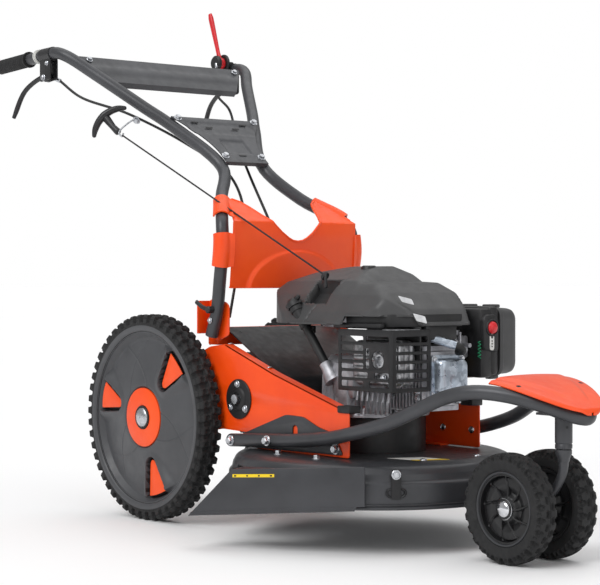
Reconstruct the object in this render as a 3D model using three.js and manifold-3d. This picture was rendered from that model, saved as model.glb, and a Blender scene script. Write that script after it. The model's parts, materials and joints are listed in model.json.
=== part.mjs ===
// A petrol rough-cut lawn mower: two big driven rear wheels, a twin swivelling front caster,
// a round side-discharge deck, a vertical-shaft engine and a cranked tube handle.
// Millimetres. +X is forward, +Y is the machine's left and +Z is up. While it is modelled, the
// rear axle is at X = 0 and the ground at Z = 0; the last lines centre the machine on its origin.
import * as THREE from "three";
import { mergeVertices } from "three/addons/utils/BufferGeometryUtils.js";
import Module from "manifold-3d";

// ---- clearances and stock ----
const GAP = 0.3; // between pieces that touch
const SHEET = 2.5; // deck steel
const PLATE = 3; // frame steel
const TUBE_R = 12.5; // handle and front frame tube
const TUBE_SIDES = 10;
const WHEEL_SEGMENTS = 32;
const CASTER_SEGMENTS = 24;

// ---- wheels ----
const REAR_R = 205;
const REAR_W = 50;
const REAR_Y = 194; // wheel centre from the middle plane
const REAR_RIM_R = 168;
const AXLE_R = 10;
const FRONT_R = 94.5;
const FRONT_W = 41.5;
const FRONT_Y = 50;
const FRONT_RIM_R = 63;
const FRONT_AXLE_R = 7;
const FRONT_X = 849;

// ---- deck ----
const DECK_X = 445; // blade, engine and deck share this vertical axis
const DECK_R = 270;
const DECK_BOTTOM = 81;
const DECK_TOP = 162;
const BLADE_R = DECK_R - 15;
const BLADE_Z = 100;
const FLARE = THREE.MathUtils.degToRad(32); // discharge panel, from the travel direction
const PANEL_AHEAD = 67; // in front of the point where it touches the deck
const PANEL_BEHIND = 261;

// ---- engine ----
const PEDESTAL_R = 99;
const ENGINE_Z = 227.5; // mounting face
const CRANKCASE_R = 92;
const SHAFT_R = 12;
const COVER_TOP = 506;
const FLYWHEEL_R = 95;

// ---- drive ----
const DRIVE_X = 246; // gearbox and cross shaft
const DRIVE_Z = 252;
const ENGINE_PULLEY_R = 30;
const GEARBOX_PULLEY_R = 55;
const BELT_Z = 187;
const SMALL_SPROCKET_R = 20;
const BIG_SPROCKET_R = 50;
const CHAIN_Y = 74;

// ---- frame ----
const SIDE_Y = 160; // inner face of each side plate
const STEM_X = 925;
const STEM_R = 9.9;
const SOCKET_R = 14.8;
const SOCKET_TOP = 262;
const SOCKET_BOTTOM = 198;

// ---- handle ----
const HANDLE_Y = 165;
const PIVOT_X = 178;
const PIVOT_Z = 421;

// ---- materials ----
const finish = (color, roughness, metalness) => ({ color, roughness, metalness });
const ORANGE = finish(0xff4f05, 0.4, 0.1);
const GRAPHITE = finish(0x3d3e40, 0.5, 0.3);
const BLACK_STEEL = finish(0x2c2d2f, 0.45, 0.3);
const BLACK_PLASTIC = finish(0x1c1c1d, 0.55, 0);
const RUBBER = finish(0x202122, 0.85, 0);
const DISC_GREY = finish(0x4c4f52, 0.6, 0);
const ZINC = finish(0xc4c7cb, 0.3, 0.9);
const DIE_CAST = finish(0xb4b6b9, 0.45, 0.8);
const RED = finish(0xd0202a, 0.4, 0);

const mower = new THREE.Group();
const wasm = await Module();
wasm.setup();

// ---- geometry helpers ----

// A geometry as a manifold solid.
function toSolid(geometry) {
  const bare = geometry.clone();
  bare.deleteAttribute("normal");
  bare.deleteAttribute("uv");
  const merged = mergeVertices(bare, 1e-3);
  return new wasm.Manifold(
    new wasm.Mesh({
      numProp: 3,
      vertProperties: merged.attributes.position.array,
      triVerts: new Uint32Array(merged.index.array),
    }),
  );
}

function toGeometry(solid) {
  const mesh = solid.getMesh();
  const geometry = new THREE.BufferGeometry();
  geometry.setAttribute("position", new THREE.BufferAttribute(mesh.vertProperties, 3));
  geometry.setIndex(new THREE.BufferAttribute(mesh.triVerts, 1));
  return geometry;
}

function join(...geometries) {
  return toGeometry(geometries.map(toSolid).reduce((a, b) => a.add(b)));
}

function cut(body, ...tools) {
  return toGeometry(tools.map(toSolid).reduce((a, b) => a.subtract(b), toSolid(body)));
}

// The same faces, turned over if the closed surface they make is inside out.
function outward(geometry) {
  const g = geometry.index ? geometry.toNonIndexed() : geometry;
  const p = g.attributes.position;
  const [a, b, c] = [new THREE.Vector3(), new THREE.Vector3(), new THREE.Vector3()];
  let volume = 0;
  for (let i = 0; i < p.count; i += 3) {
    a.fromBufferAttribute(p, i);
    b.fromBufferAttribute(p, i + 1);
    c.fromBufferAttribute(p, i + 2);
    volume += a.dot(b.cross(c));
  }
  if (volume >= 0) return g;
  for (let i = 0; i < p.count; i += 3) {
    b.fromBufferAttribute(p, i + 1);
    c.fromBufferAttribute(p, i + 2);
    p.setXYZ(i + 1, c.x, c.y, c.z);
    p.setXYZ(i + 2, b.x, b.y, b.z);
  }
  return g;
}

function mirrored(geometry) {
  return outward(geometry.clone().scale(1, -1, 1));
}

function shapeOf(points) {
  return new THREE.Shape(points.map(([x, y]) => new THREE.Vector2(x, y)));
}

// A flat plate in XY, from z = low to z = low + thickness.
function floorPlate(points, low, thickness, holes = []) {
  const shape = shapeOf(points);
  shape.holes = holes.map(shapeOf);
  const options = { depth: thickness, bevelEnabled: false };
  return new THREE.ExtrudeGeometry(shape, options).translate(0, 0, low);
}

// A flat plate in XZ, from y = low to y = low + thickness.
function sidePlate(points, low, thickness, holes = []) {
  const plate = floorPlate(points, 0, thickness, holes).rotateX(Math.PI / 2);
  return plate.translate(0, low + thickness, 0);
}

// A flat plate in YZ, from x = low to x = low + thickness.
function frontPlate(points, low, thickness, holes = []) {
  const turn = new THREE.Matrix4().makeBasis(
    new THREE.Vector3(0, 1, 0),
    new THREE.Vector3(0, 0, 1),
    new THREE.Vector3(1, 0, 0),
  );
  return floorPlate(points, 0, thickness, holes).applyMatrix4(turn).translate(low, 0, 0);
}

function box([x0, y0, z0], [x1, y1, z1]) {
  const g = new THREE.BoxGeometry(x1 - x0, y1 - y0, z1 - z0);
  return g.translate((x0 + x1) / 2, (y0 + y1) / 2, (z0 + z1) / 2);
}

// A closed profile of [radius, height] points turned about an upright axis through x, y.
function turned(profile, x, y, segments = 32) {
  const points = [...profile, profile[0]].map(([r, z]) => new THREE.Vector2(r, z));
  const lathe = new THREE.LatheGeometry(points, segments).rotateX(Math.PI / 2);
  return outward(lathe.translate(x, y, 0));
}

// A closed profile of [radius, offset along Y] points turned about a Y axis through x, z.
// One facet faces straight down.
function wheelTurned(profile, x, y, z, segments = 32) {
  const stretch = 1 / Math.cos(Math.PI / segments);
  const points = [...profile, profile[0]].map(([r, t]) => new THREE.Vector2(r * stretch, t));
  const lathe = new THREE.LatheGeometry(points, segments).rotateY(Math.PI / segments);
  return outward(lathe.translate(x, y, z));
}

const post = (r, z0, z1, x, y, segments = 24) =>
  turned([[0, z0], [r, z0], [r, z1], [0, z1]], x, y, segments);

const pin = (r, y0, y1, x, z, segments = 20) =>
  wheelTurned([[0, y0], [r, y0], [r, y1], [0, y1]], x, 0, z, segments);

// A round bar from one point to another.
function bar(from, to, r, segments = 12) {
  const a = new THREE.Vector3(...from);
  const b = new THREE.Vector3(...to);
  const g = new THREE.CylinderGeometry(r, r, a.distanceTo(b), segments);
  const direction = b.clone().sub(a).normalize();
  g.applyQuaternion(
    new THREE.Quaternion().setFromUnitVectors(new THREE.Vector3(0, 1, 0), direction),
  );
  const middle = a.add(b).multiplyScalar(0.5);
  return g.translate(middle.x, middle.y, middle.z);
}

function polygon(r, sides) {
  return Array.from({ length: sides }, (_, i) => {
    const angle = ((i + 0.5) * 2 * Math.PI) / sides;
    return [r * Math.cos(angle), r * Math.sin(angle)];
  });
}

// A round rod along a smooth curve through the points.
function rod(points, r, steps, sides = TUBE_SIDES) {
  const path = new THREE.CatmullRomCurve3(
    points.map((p) => new THREE.Vector3(...p)),
    false,
    "centripetal",
  );
  return outward(
    new THREE.ExtrudeGeometry(shapeOf(polygon(r, sides)), {
      steps,
      extrudePath: path,
      bevelEnabled: false,
    }),
  );
}

// A curved sheet: surface(u, v) gives [x, y, z] on its outer face, offset its thickness.
function sheet(surface, offset, columns, rows) {
  const position = [];
  const index = [];
  const stride = columns + 1;
  const layer = stride * (rows + 1);
  for (const side of [0, 1])
    for (let j = 0; j <= rows; j++)
      for (let i = 0; i <= columns; i++)
        surface(i / columns, j / rows).forEach((c, k) => position.push(c + side * offset[k]));
  const quad = (a, b, c, d) => index.push(a, b, c, a, c, d);
  for (let j = 0; j < rows; j++)
    for (let i = 0; i < columns; i++) {
      const a = j * stride + i;
      quad(a, a + 1, a + stride + 1, a + stride);
      quad(layer + a, layer + a + stride, layer + a + stride + 1, layer + a + 1);
    }
  for (let i = 0; i < columns; i++) {
    quad(i, layer + i, layer + i + 1, i + 1);
    const far = rows * stride + i;
    quad(far, far + 1, layer + far + 1, layer + far);
  }
  for (let j = 0; j < rows; j++) {
    const near = j * stride;
    quad(near, near + stride, layer + near + stride, layer + near);
    const far = near + columns;
    quad(far, layer + far, layer + far + stride, far + stride);
  }
  const g = new THREE.BufferGeometry();
  g.setAttribute("position", new THREE.BufferAttribute(new Float32Array(position), 3));
  g.setIndex(index);
  return outward(g);
}

// A solid between polygons of equally many points, one at each listed height.
function loft(sections) {
  const count = sections[0].points.length;
  const position = sections.flatMap(({ z, points }) => points.flatMap(([x, y]) => [x, y, z]));
  const index = [];
  for (let s = 0; s + 1 < sections.length; s++)
    for (let i = 0; i < count; i++) {
      const a = s * count + i;
      const b = s * count + ((i + 1) % count);
      index.push(a, b, b + count, a, b + count, a + count);
    }
  const top = (sections.length - 1) * count;
  for (let i = 1; i + 1 < count; i++) {
    index.push(0, i + 1, i);
    index.push(top, top + i, top + i + 1);
  }
  const g = new THREE.BufferGeometry();
  g.setAttribute("position", new THREE.BufferAttribute(new Float32Array(position), 3));
  g.setIndex(index);
  return outward(g);
}

function add(name, geometry, look) {
  const mesh = new THREE.Mesh(geometry, new THREE.MeshStandardMaterial(look));
  mesh.name = name;
  mower.add(mesh);
}

function addPair(name, right, look) {
  add(`${name}_right`, right, look);
  add(`${name}_left`, mirrored(right), look);
}

// ---- cutting deck ----

function deckPan() {
  const profile = [
    [22, DECK_TOP],
    [DECK_R - 30, DECK_TOP],
    [DECK_R - 14, DECK_TOP - 8],
    [DECK_R - 7, DECK_TOP - 22],
    [DECK_R - 5, 130],
    [DECK_R, 126],
    [DECK_R, DECK_BOTTOM + 11],
    [DECK_R + 3, DECK_BOTTOM + 9],
    [DECK_R + 3, DECK_BOTTOM],
    [DECK_R - SHEET, DECK_BOTTOM],
    [DECK_R - SHEET, 124],
    [DECK_R - 5 - SHEET, 128],
    [DECK_R - 7 - SHEET, DECK_TOP - 23],
    [DECK_R - 15.5, DECK_TOP - 10],
    [DECK_R - 31, DECK_TOP - SHEET],
    [22, DECK_TOP - SHEET],
  ];
  const polar = (r, degrees) => {
    const angle = THREE.MathUtils.degToRad(degrees);
    return [DECK_X + r * Math.cos(angle), r * Math.sin(angle)];
  };
  const outlet = [
    polar(DECK_R - 30, -52),
    polar(DECK_R - 30, -82),
    polar(DECK_R - 30, -112),
    polar(DECK_R + 60, -112),
    polar(DECK_R + 60, -82),
    polar(DECK_R + 60, -52),
  ];
  return cut(turned(profile, DECK_X, 0, 36), floorPlate(outlet, 60, 79));
}

// The flat guard that stands at a tangent to the pan beside the outlet, its roof, and the return
// folded inwards along its slanted rear edge.
function dischargePanel() {
  const off = DECK_R + 3 + 2 * GAP;
  const at = (t, k) => [
    DECK_X + (off + k) * Math.sin(FLARE) - t * Math.cos(FLARE),
    -(off + k) * Math.cos(FLARE) - t * Math.sin(FLARE),
  ];
  const [footZ, roofZ, frontZ] = [60, 146, 158];
  const topRear = 0.68 * PANEL_BEHIND;
  const face = [
    [-PANEL_BEHIND, footZ], [PANEL_AHEAD, DECK_BOTTOM + 1], [PANEL_AHEAD, frontZ],
    [-topRear, roofZ],
  ];
  const panel = sidePlate(face, -PLATE, PLATE).rotateZ(FLARE).translate(...at(0, 0), 0);
  const roof = [at(-40, 1)];
  for (let turn = -8; turn <= 44; turn += 4) {
    const angle = THREE.MathUtils.degToRad(turn);
    const r = DECK_R - 1;
    roof.push(at(r * Math.sin(angle), r * Math.cos(angle) - off));
  }
  roof.push(at(topRear, -46), at(topRear, 1));
  const edge = (t) => [at(t - PLATE, -46), at(t - PLATE, PLATE), at(t, PLATE), at(t, -46)];
  const fold = loft([
    { z: footZ, points: edge(PANEL_BEHIND) },
    { z: roofZ, points: edge(topRear) },
  ]);
  return join(panel, floorPlate(roof, roofZ - PLATE, PLATE), fold);
}

function blade() {
  const half = 27;
  const ground = Math.sqrt(BLADE_R ** 2 - half ** 2);
  const flat = box([DECK_X - ground, -half, BLADE_Z], [DECK_X + ground, half, BLADE_Z + 4]);
  const wing = (side) => {
    const x = DECK_X + side * (ground - 45);
    const y = side * (half - 8);
    return box([x - 45, y - 8, BLADE_Z + 3], [x + 45, y + 8, BLADE_Z + 14]);
  };
  const bore = post(SHAFT_R + GAP, BLADE_Z - 5, BLADE_Z + 9, DECK_X, 0);
  return cut(join(flat, wing(1), wing(-1)), bore);
}

// ---- engine ----

function pedestal() {
  const base = DECK_TOP + GAP;
  const wall = [[PEDESTAL_R - 6, base], [PEDESTAL_R, base], [PEDESTAL_R, ENGINE_Z - GAP]];
  const profile = [...wall, [PEDESTAL_R - 26, ENGINE_Z - GAP], [PEDESTAL_R - 26, ENGINE_Z - 5]];
  profile.push([PEDESTAL_R - 6, ENGINE_Z - 5]);
  const reach = GEARBOX_PULLEY_R + 8;
  const way = box(
    [DECK_X - PEDESTAL_R - 10, -reach, BELT_Z - 14],
    [DECK_X - 40, reach, BELT_Z + 14],
  );
  return cut(turned(profile, DECK_X, 0, 28), way);
}

// Die-cast crankcase in one piece with its finned cylinder, which points forward.
function crankcase() {
  const profile = [
    [SHAFT_R + GAP, ENGINE_Z],
    [CRANKCASE_R + 14, ENGINE_Z],
    [CRANKCASE_R + 14, ENGINE_Z + 9],
    [CRANKCASE_R, ENGINE_Z + 14],
    [CRANKCASE_R, ENGINE_Z + 92],
    [CRANKCASE_R - 16, ENGINE_Z + 112],
    [SHAFT_R + GAP, ENGINE_Z + 112],
  ];
  const body = turned(profile, DECK_X, 0, 28);
  const barrel = box([DECK_X + 60, -34, 252], [DECK_X + 190, 36, 352]);
  const fins = [0, 1, 2, 3, 4].map((i) => {
    const x = DECK_X + 112 + i * 15;
    return box([x, -43, 244], [x + 5, 46, 360]);
  });
  const bore = post(SHAFT_R + GAP, ENGINE_Z - 9, 400, DECK_X, 0);
  return cut(join(body, barrel, ...fins), bore);
}

function muffler() {
  const [x0, x1] = [DECK_X + 76, DECK_X + 188];
  const [z0, z1] = [290, 372];
  const c = 14;
  const outline = [
    [x0 + c, z0], [x1 - c, z0], [x1, z0 + c], [x1, z1 - c],
    [x1 - c, z1], [x0 + c, z1], [x0, z1 - c], [x0, z0 + c],
  ];
  const pipe = pin(12, -126, -119, DECK_X + 158, 336, 20);
  return join(sidePlate(outline, -120, 57), pipe);
}

// A folded sheet: one face on the machine's right, one to the front, and a top lip. Both faces
// are slotted in six rows.
function mufflerGuard() {
  const [x0, x1] = [DECK_X + 53, DECK_X + 196];
  const [y0, y1] = [-131, -36];
  const [z0, z1] = [281, 390];
  const wall = 2;
  const slots = [];
  for (let row = 0; row < 6; row++) {
    const low = z0 + 8 + row * 16;
    const high = low + 10;
    for (const x of [x0 + 10, x0 + 74])
      slots.push(box([x, y0 - wall, low], [x + 57, y0 + 2 * wall, high]));
    slots.push(box([x1 - 2 * wall, y0 + 12, low], [x1 + wall, y1 - 8, high]));
  }
  const lip = [[x0, y0], [x1, y0], [x1, y1], [x0, y0 + 30]];
  const folded = join(
    box([x0, y0, z0], [x1, y0 + wall, z1]),
    box([x1 - wall, y0, z0], [x1, y1, z1]),
    floorPlate(lip, z1 - wall, wall),
  );
  return cut(folded, ...slots);
}

// The moulded cover over the flywheel, hollow from below, with a mouth for the starter rope.
function blowerCover() {
  const outline = (grow, shift) => [
    [DECK_X - 178 + grow, -88 + grow / 2], [DECK_X - 110 + grow / 2, -128 + grow],
    [DECK_X + 40, -132 + grow], [DECK_X + 150 - grow, -112 + grow],
    [DECK_X + 200 - grow * 1.7, -50 + grow / 2], [DECK_X + 200 - grow * 1.7, 62 - grow / 2],
    [DECK_X + 78 - grow / 2, 88 - grow / 2], [DECK_X - 90, 90 - grow / 2],
    [DECK_X - 140 + grow / 2, 70 - grow / 2], [DECK_X - 178 + grow, 0],
  ].map(([x, y]) => [x + shift, y]);
  const shell = loft([
    { z: 398, points: outline(0, 0) },
    { z: 440, points: outline(4, 0) },
    { z: 474, points: outline(26, -4) },
    { z: COVER_TOP, points: outline(62, -10) },
  ]);
  const hollow = post(FLYWHEEL_R + 8, 390, COVER_TOP - 14, DECK_X, 0, 28);
  const head = box([DECK_X + 60, -40, 390], [DECK_X + 188, 50, 424]);
  const mouth = box([DECK_X - 64, -124, COVER_TOP - 40], [DECK_X + 4, -74, COVER_TOP + 4]);
  const filler = bar([330, -122, 492], [452, -122, 276], 22, 14);
  return cut(shell, hollow, head, mouth, filler);
}

const FILLER_TOP = [366, -122, 428];
const FILLER_FOOT = [446, -104, 306];

function fillerPoint(share) {
  return FILLER_TOP.map((c, i) => c + share * (FILLER_FOOT[i] - c));
}

function oilFiller() {
  const tube = bar(FILLER_TOP, fillerPoint(0.96), 9, 14);
  const collar = bar(FILLER_TOP, fillerPoint(0.1), 13, 14);
  const bracket = box([380, -113, 380], [398, -99, 394]);
  return cut(join(tube, collar, bracket), bar(fillerPoint(-0.1), fillerPoint(0.12), 6.6, 14));
}

function oilCap() {
  const plug = bar(fillerPoint(0.1), fillerPoint(-0.004), 6.2, 14);
  return join(plug, bar(fillerPoint(-0.004), fillerPoint(-0.13), 15, 8));
}

function carburettor() {
  const body = box([565, 50, 335], [612, 87, 378]);
  const bowl = post(15, 306, 336, 590, 68, 20);
  return join(body, bowl);
}

const FILTER_X = 640;

function filterBase() {
  const tray = box([FILTER_X - 105, 90, 300], [FILTER_X, 138, 427]);
  const boss = box([FILTER_X - 1, 92, 350], [FILTER_X + 6, 128, 415]);
  const well = box([FILTER_X - 40, 102.5, 382.5], [FILTER_X + 8, 121.5, 401.5]);
  return cut(join(tray, boss), well);
}

function primerButton() {
  return box([FILTER_X - 20, 103, 383], [FILTER_X + 12, 121, 401]);
}

function filterCover() {
  const c = 16;
  const [x0, x1, z0, z1] = [FILTER_X - 107, FILTER_X + 2, 302, 430];
  const outline = [
    [x0 + c, z0], [x1 - c, z0], [x1, z0 + c], [x1, z1 - c],
    [x1 - c, z1], [x0 + c, z1], [x0, z1 - c], [x0, z0 + c],
  ];
  return sidePlate(outline, 138 + GAP, 48);
}

function fuelTank() {
  const c = 14;
  const [x0, x1, y0, y1] = [DECK_X - 130, DECK_X + 60, 97, 158];
  const outline = [
    [x0 + c, y0], [x1 - c, y0], [x1, y0 + c], [x1, y1 - c],
    [x1 - c, y1], [x0 + c, y1], [x0, y1 - c], [x0, y0 + c],
  ];
  const neck = post(17, 420, 434, DECK_X - 60, 127, 20);
  const mouth = post(14, 412, 436, DECK_X - 60, 127, 20);
  return cut(join(floorPlate(outline, 322, 100), neck), mouth);
}

function fuelCap() {
  const plug = post(13.6, 414, 434 + GAP, DECK_X - 60, 127, 20);
  return join(plug, post(23, 434 + GAP, 450, DECK_X - 60, 127, 20));
}

function rockerCover() {
  const c = 9;
  const [y0, y1, z0, z1] = [-33, 46, 268, 345];
  const outline = (d) => [
    [y0 + d + c, z0 + d], [y1 - d - c, z0 + d], [y1 - d, z0 + d + c], [y1 - d, z1 - d - c],
    [y1 - d - c, z1 - d], [y0 + d + c, z1 - d], [y0 + d, z1 - d - c], [y0 + d, z0 + d + c],
  ];
  const x = DECK_X + 190 + GAP;
  return join(frontPlate(outline(0), x, 5), frontPlate(outline(4), x + 4, 22));
}

// ---- shafts, pulleys and gearbox ----

function crankshaft() {
  const shaft = post(SHAFT_R, BLADE_Z - 2, 420, DECK_X, 0, 24);
  const hub = turned(
    [[0, BLADE_Z + 4 + GAP], [26, BLADE_Z + 4 + GAP], [18, BLADE_Z + 22], [0, BLADE_Z + 22]],
    DECK_X, 0, 24,
  );
  const bolt = post(16, BLADE_Z - 12, BLADE_Z - GAP, DECK_X, 0, 6);
  return join(shaft, hub, bolt, post(ENGINE_PULLEY_R, BELT_Z - 7, BELT_Z + 7, DECK_X, 0, 28));
}

function flywheel() {
  const inner = SHAFT_R + GAP;
  return turned(
    [[inner, 392], [FLYWHEEL_R, 392], [FLYWHEEL_R, 416], [40, 424], [inner, 424]],
    DECK_X, 0, 32,
  );
}

function driveBelt() {
  const gap = 2;
  const loop = (extra) => {
    const small = ENGINE_PULLEY_R + gap + extra;
    const big = GEARBOX_PULLEY_R + gap + extra;
    const lean = Math.asin((big - small) / (DECK_X - DRIVE_X));
    const arc = (x, r, from, to) =>
      Array.from({ length: 13 }, (_, i) => {
        const a = from + ((to - from) * i) / 12;
        return [x + r * Math.cos(a), r * Math.sin(a)];
      });
    const half = Math.PI / 2 + lean;
    return [
      ...arc(DECK_X, small, -half, half),
      ...arc(DRIVE_X, big, half, 2 * Math.PI - half),
    ];
  };
  return floorPlate(loop(8), BELT_Z - 4, 8, [loop(0)]);
}

function gearbox() {
  const c = 16;
  const [x0, x1, z0, z1] = [DRIVE_X - 52, DRIVE_X + 52, 212, 292];
  const outline = [
    [x0 + c, z0], [x1 - c, z0], [x1, z0 + c], [x1, z1 - c],
    [x1 - c, z1], [x0 + c, z1], [x0, z1 - c], [x0, z0 + c],
  ];
  const body = sidePlate(outline, -46, 92);
  const across = pin(9 + GAP, -60, 60, DRIVE_X, DRIVE_Z, 20);
  const below = post(8 + GAP, 205, 232, DRIVE_X, 0, 20);
  return cut(body, across, below);
}

function gearboxPulley() {
  const wheel = post(GEARBOX_PULLEY_R, BELT_Z - 7, BELT_Z + 7, DRIVE_X, 0, 36);
  return join(wheel, post(8, BELT_Z - 9, 231, DRIVE_X, 0, 20));
}

function crossShaft() {
  const shaft = pin(9, -176, 176, DRIVE_X, DRIVE_Z, 20);
  return join(shaft, pin(SMALL_SPROCKET_R, CHAIN_Y - 4, CHAIN_Y + 4, DRIVE_X, DRIVE_Z, 24));
}

function rearAxle() {
  const end = REAR_Y + REAR_W / 2 - 3;
  const shaft = pin(AXLE_R, -end, end, 0, REAR_R, 20);
  return join(shaft, pin(BIG_SPROCKET_R, CHAIN_Y - 4, CHAIN_Y + 4, 0, REAR_R, 32));
}

function driveChain() {
  const lift = Math.atan2(DRIVE_Z - REAR_R, DRIVE_X);
  const distance = Math.hypot(DRIVE_X, DRIVE_Z - REAR_R);
  const loop = (extra) => {
    const small = SMALL_SPROCKET_R + 2 + extra;
    const big = BIG_SPROCKET_R + 2 + extra;
    const lean = Math.asin((big - small) / distance);
    const arc = (along, r, from, to) =>
      Array.from({ length: 11 }, (_, i) => {
        const a = from + ((to - from) * i) / 10 + lift;
        const [x, z] = [along * Math.cos(lift), REAR_R + along * Math.sin(lift)];
        return [x + r * Math.cos(a), z + r * Math.sin(a)];
      });
    const half = Math.PI / 2 + lean;
    return [
      ...arc(distance, small, -half, half),
      ...arc(0, big, half, 2 * Math.PI - half),
    ];
  };
  return sidePlate(loop(7), CHAIN_Y - 3.5, 7, [loop(0)]);
}

// ---- frame ----

// The orange plate beside the engine: its sloping top and its foot are folded inwards.
function frameSide() {
  const outline = [
    [194, 192], [282, 190], [565, 211], [565, 246], [349, 306], [PIVOT_X + 24, 355.5],
    [150, 349], [124, 338], [60, 300], [-30, REAR_R + 30], [-30, REAR_R - 30], [60, REAR_R - 34],
  ];
  const y = -SIDE_Y - PLATE;
  const driveHole = polygon(10, 16).map(([x, z]) => [x + DRIVE_X, z + DRIVE_Z]);
  const axleHole = polygon(AXLE_R + 2 * GAP, 16).map(([x, z]) => [x, z + REAR_R]);
  const face = sidePlate(outline, y, PLATE, [driveHole, axleHole]);
  const lip = (a, b) => {
    const drop = PLATE / Math.cos(Math.atan2(b[1] - a[1], b[0] - a[0]));
    const strip = [a, b, [b[0], b[1] - drop], [a[0], a[1] - drop]];
    return sidePlate(strip, y, 16);
  };
  const low = DECK_TOP + GAP;
  const leg = sidePlate([[282, 190], [565, 211], [565, low], [300, low]], y, PLATE);
  const flange = box([300, y, low], [480, y + 22, low + PLATE]);
  return join(face, lip([PIVOT_X + 24, 355.5], [349, 306]), lip([349, 306], [565, 246]), leg, flange);
}

// The slotted bracket that ties the front frame to the side plate.
function frameBracket() {
  const outline = [
    [256, 186], [297, 200], [390, 231], [440, 230], [483, 214], [524, 206], [552, 168],
    [300, 163], [256, 166],
  ];
  const slot = [[410, 174], [425, 174], [425, 214], [410, 214]];
  return sidePlate(outline, -SIDE_Y - 2 * PLATE - GAP, PLATE, [slot]);
}

function bearingFlange() {
  const y = -SIDE_Y - 2 * PLATE - GAP;
  const rim = wheelTurned(
    [[9 + GAP, y], [38, y], [38, y + PLATE], [9 + GAP, y + PLATE]], DRIVE_X, 0, DRIVE_Z, 20,
  );
  const cup = wheelTurned(
    [[9 + GAP, y - 4], [17, y - 4], [20, y + 1], [9 + GAP, y + 1]], DRIVE_X, 0, DRIVE_Z, 20,
  );
  return join(rim, cup);
}

// Orange beam across the back of the frame, with an upright cheek for each handle tube.
function crossMember() {
  const [x0, x1] = [130, 162];
  const half = HANDLE_Y - TUBE_R - 0.5;
  const beam = box([x0, -half, 352], [x1, half, 386]);
  const cheek = [[x0, 350], [PIVOT_X + 18, 372], [PIVOT_X + 18, 436], [x0, 440]];
  const right = sidePlate(cheek, -HANDLE_Y + TUBE_R + 2, PLATE);
  const web = box([x0, -HANDLE_Y - 14, 374], [x0 + PLATE, -HANDLE_Y + TUBE_R + 4, 438]);
  const ear = join(right, web);
  return join(beam, ear, mirrored(ear));
}

function rearCover() {
  const half = SIDE_Y - 18;
  const slope = [[164, 352], [347, 292], [352, 262], [350, 262], [345, 290], [164, 349.5]];
  return sidePlate(slope, -half, 2 * half);
}

const FRONT_LEG = [
  [252, -187, 176], [377, -187, 184], [427, -186, 187], [531, -182, 198], [600, -174, 213],
  [664, -159, 232], [724, -142, 259], [773, -128, 281], [826, -115, 292], [880, -88, 288],
  [930, -52, 272], [964, -20, 256],
];
const NOSE = [975, 0, 252];

function frontFrame() {
  const left = FRONT_LEG.map(([x, y, z]) => [x, -y, z]).reverse();
  const loop = rod([...FRONT_LEG, NOSE, ...left], TUBE_R, 32);
  const socket = post(SOCKET_R, SOCKET_BOTTOM, SOCKET_TOP, STEM_X, 0, 24);
  const web = [
    [STEM_X - 20, -46], [STEM_X + 8, -46], [NOSE[0], -8],
    [NOSE[0], 8], [STEM_X + 8, 46], [STEM_X - 20, 46],
  ];
  const bore = post(STEM_R + GAP, SOCKET_BOTTOM - 9, SOCKET_TOP - 6, STEM_X, 0, 24);
  return cut(join(loop, socket, floorPlate(web, SOCKET_TOP - 6, 4)), bore);
}

const NOSE_RISE = 297; // centre height of the tube under the rear of the cover

function noseCover() {
  const surface = (u, v) => {
    const x = 846 + u * 141;
    const half = 94 * Math.sqrt(Math.max(0, 1 - u ** 1.7)) + 3;
    const across = 2 * v - 1;
    const rise = NOSE_RISE + TUBE_R - 44 * u ** 1.6 + 4 * (1 - across * across) * (1 - u);
    return [x, across * half, rise];
  };
  return sheet(surface, [0, 0, -2.5], 8, 8);
}

function casterFork() {
  const stem = post(STEM_R, 172, SOCKET_TOP - 8, STEM_X, 0, 24);
  const collar = post(14, 178, SOCKET_BOTTOM - GAP - 0.5, STEM_X, 0, 24);
  const arm = rod(
    [[STEM_X, 0, 188], [STEM_X - 2, 0, 160], [STEM_X - 22, 0, 128], [FRONT_X + 18, 0, 106],
      [FRONT_X, 0, FRONT_R]],
    9.5, 16, 10,
  );
  const hub = pin(15, -FRONT_Y + FRONT_W / 2 + 2, FRONT_Y - FRONT_W / 2 - 2, FRONT_X, FRONT_R);
  const reach = FRONT_Y + FRONT_W / 2 - 4;
  return join(stem, collar, arm, hub, pin(FRONT_AXLE_R, -reach, reach, FRONT_X, FRONT_R));
}

// ---- wheels: each is drawn about its own middle plane, and +t is the outer side ----

function rearTyre(side) {
  const h = REAR_W / 2;
  const r = REAR_R;
  const profile = [
    [REAR_RIM_R + GAP, -h + 4], [r - 22, -h], [r - 6, -h], [r, -h + 7],
    [r, h - 7], [r - 6, h], [r - 22, h], [REAR_RIM_R + GAP, h - 4],
  ];
  return wheelTurned(profile, 0, side * REAR_Y, REAR_R, WHEEL_SEGMENTS);
}

function rearDisc(side) {
  const h = REAR_W / 2;
  const profile = [
    [AXLE_R + GAP, -h + 1], [26, -h + 1], [34, -2], [REAR_RIM_R - 20, -8], [REAR_RIM_R, -h + 6],
    [REAR_RIM_R, h - 6], [REAR_RIM_R - 12, h - 6], [REAR_RIM_R - 30, 4],
    [59, h - 4], [20, h - 4], [20, h + 1], [AXLE_R + GAP, h + 1],
  ].map(([r, t]) => [r, side * t]);
  return wheelTurned(profile, 0, side * REAR_Y, REAR_R, WHEEL_SEGMENTS);
}

function frontTyre(side) {
  const h = FRONT_W / 2;
  const r = FRONT_R;
  const profile = [
    [FRONT_RIM_R + GAP, -h + 3], [r - 12, -h], [r - 4, -h + 1], [r, -h + 6],
    [r, h - 6], [r - 4, h - 1], [r - 12, h], [FRONT_RIM_R + GAP, h - 3],
  ];
  return wheelTurned(profile, FRONT_X, side * FRONT_Y, FRONT_R, CASTER_SEGMENTS);
}

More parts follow.
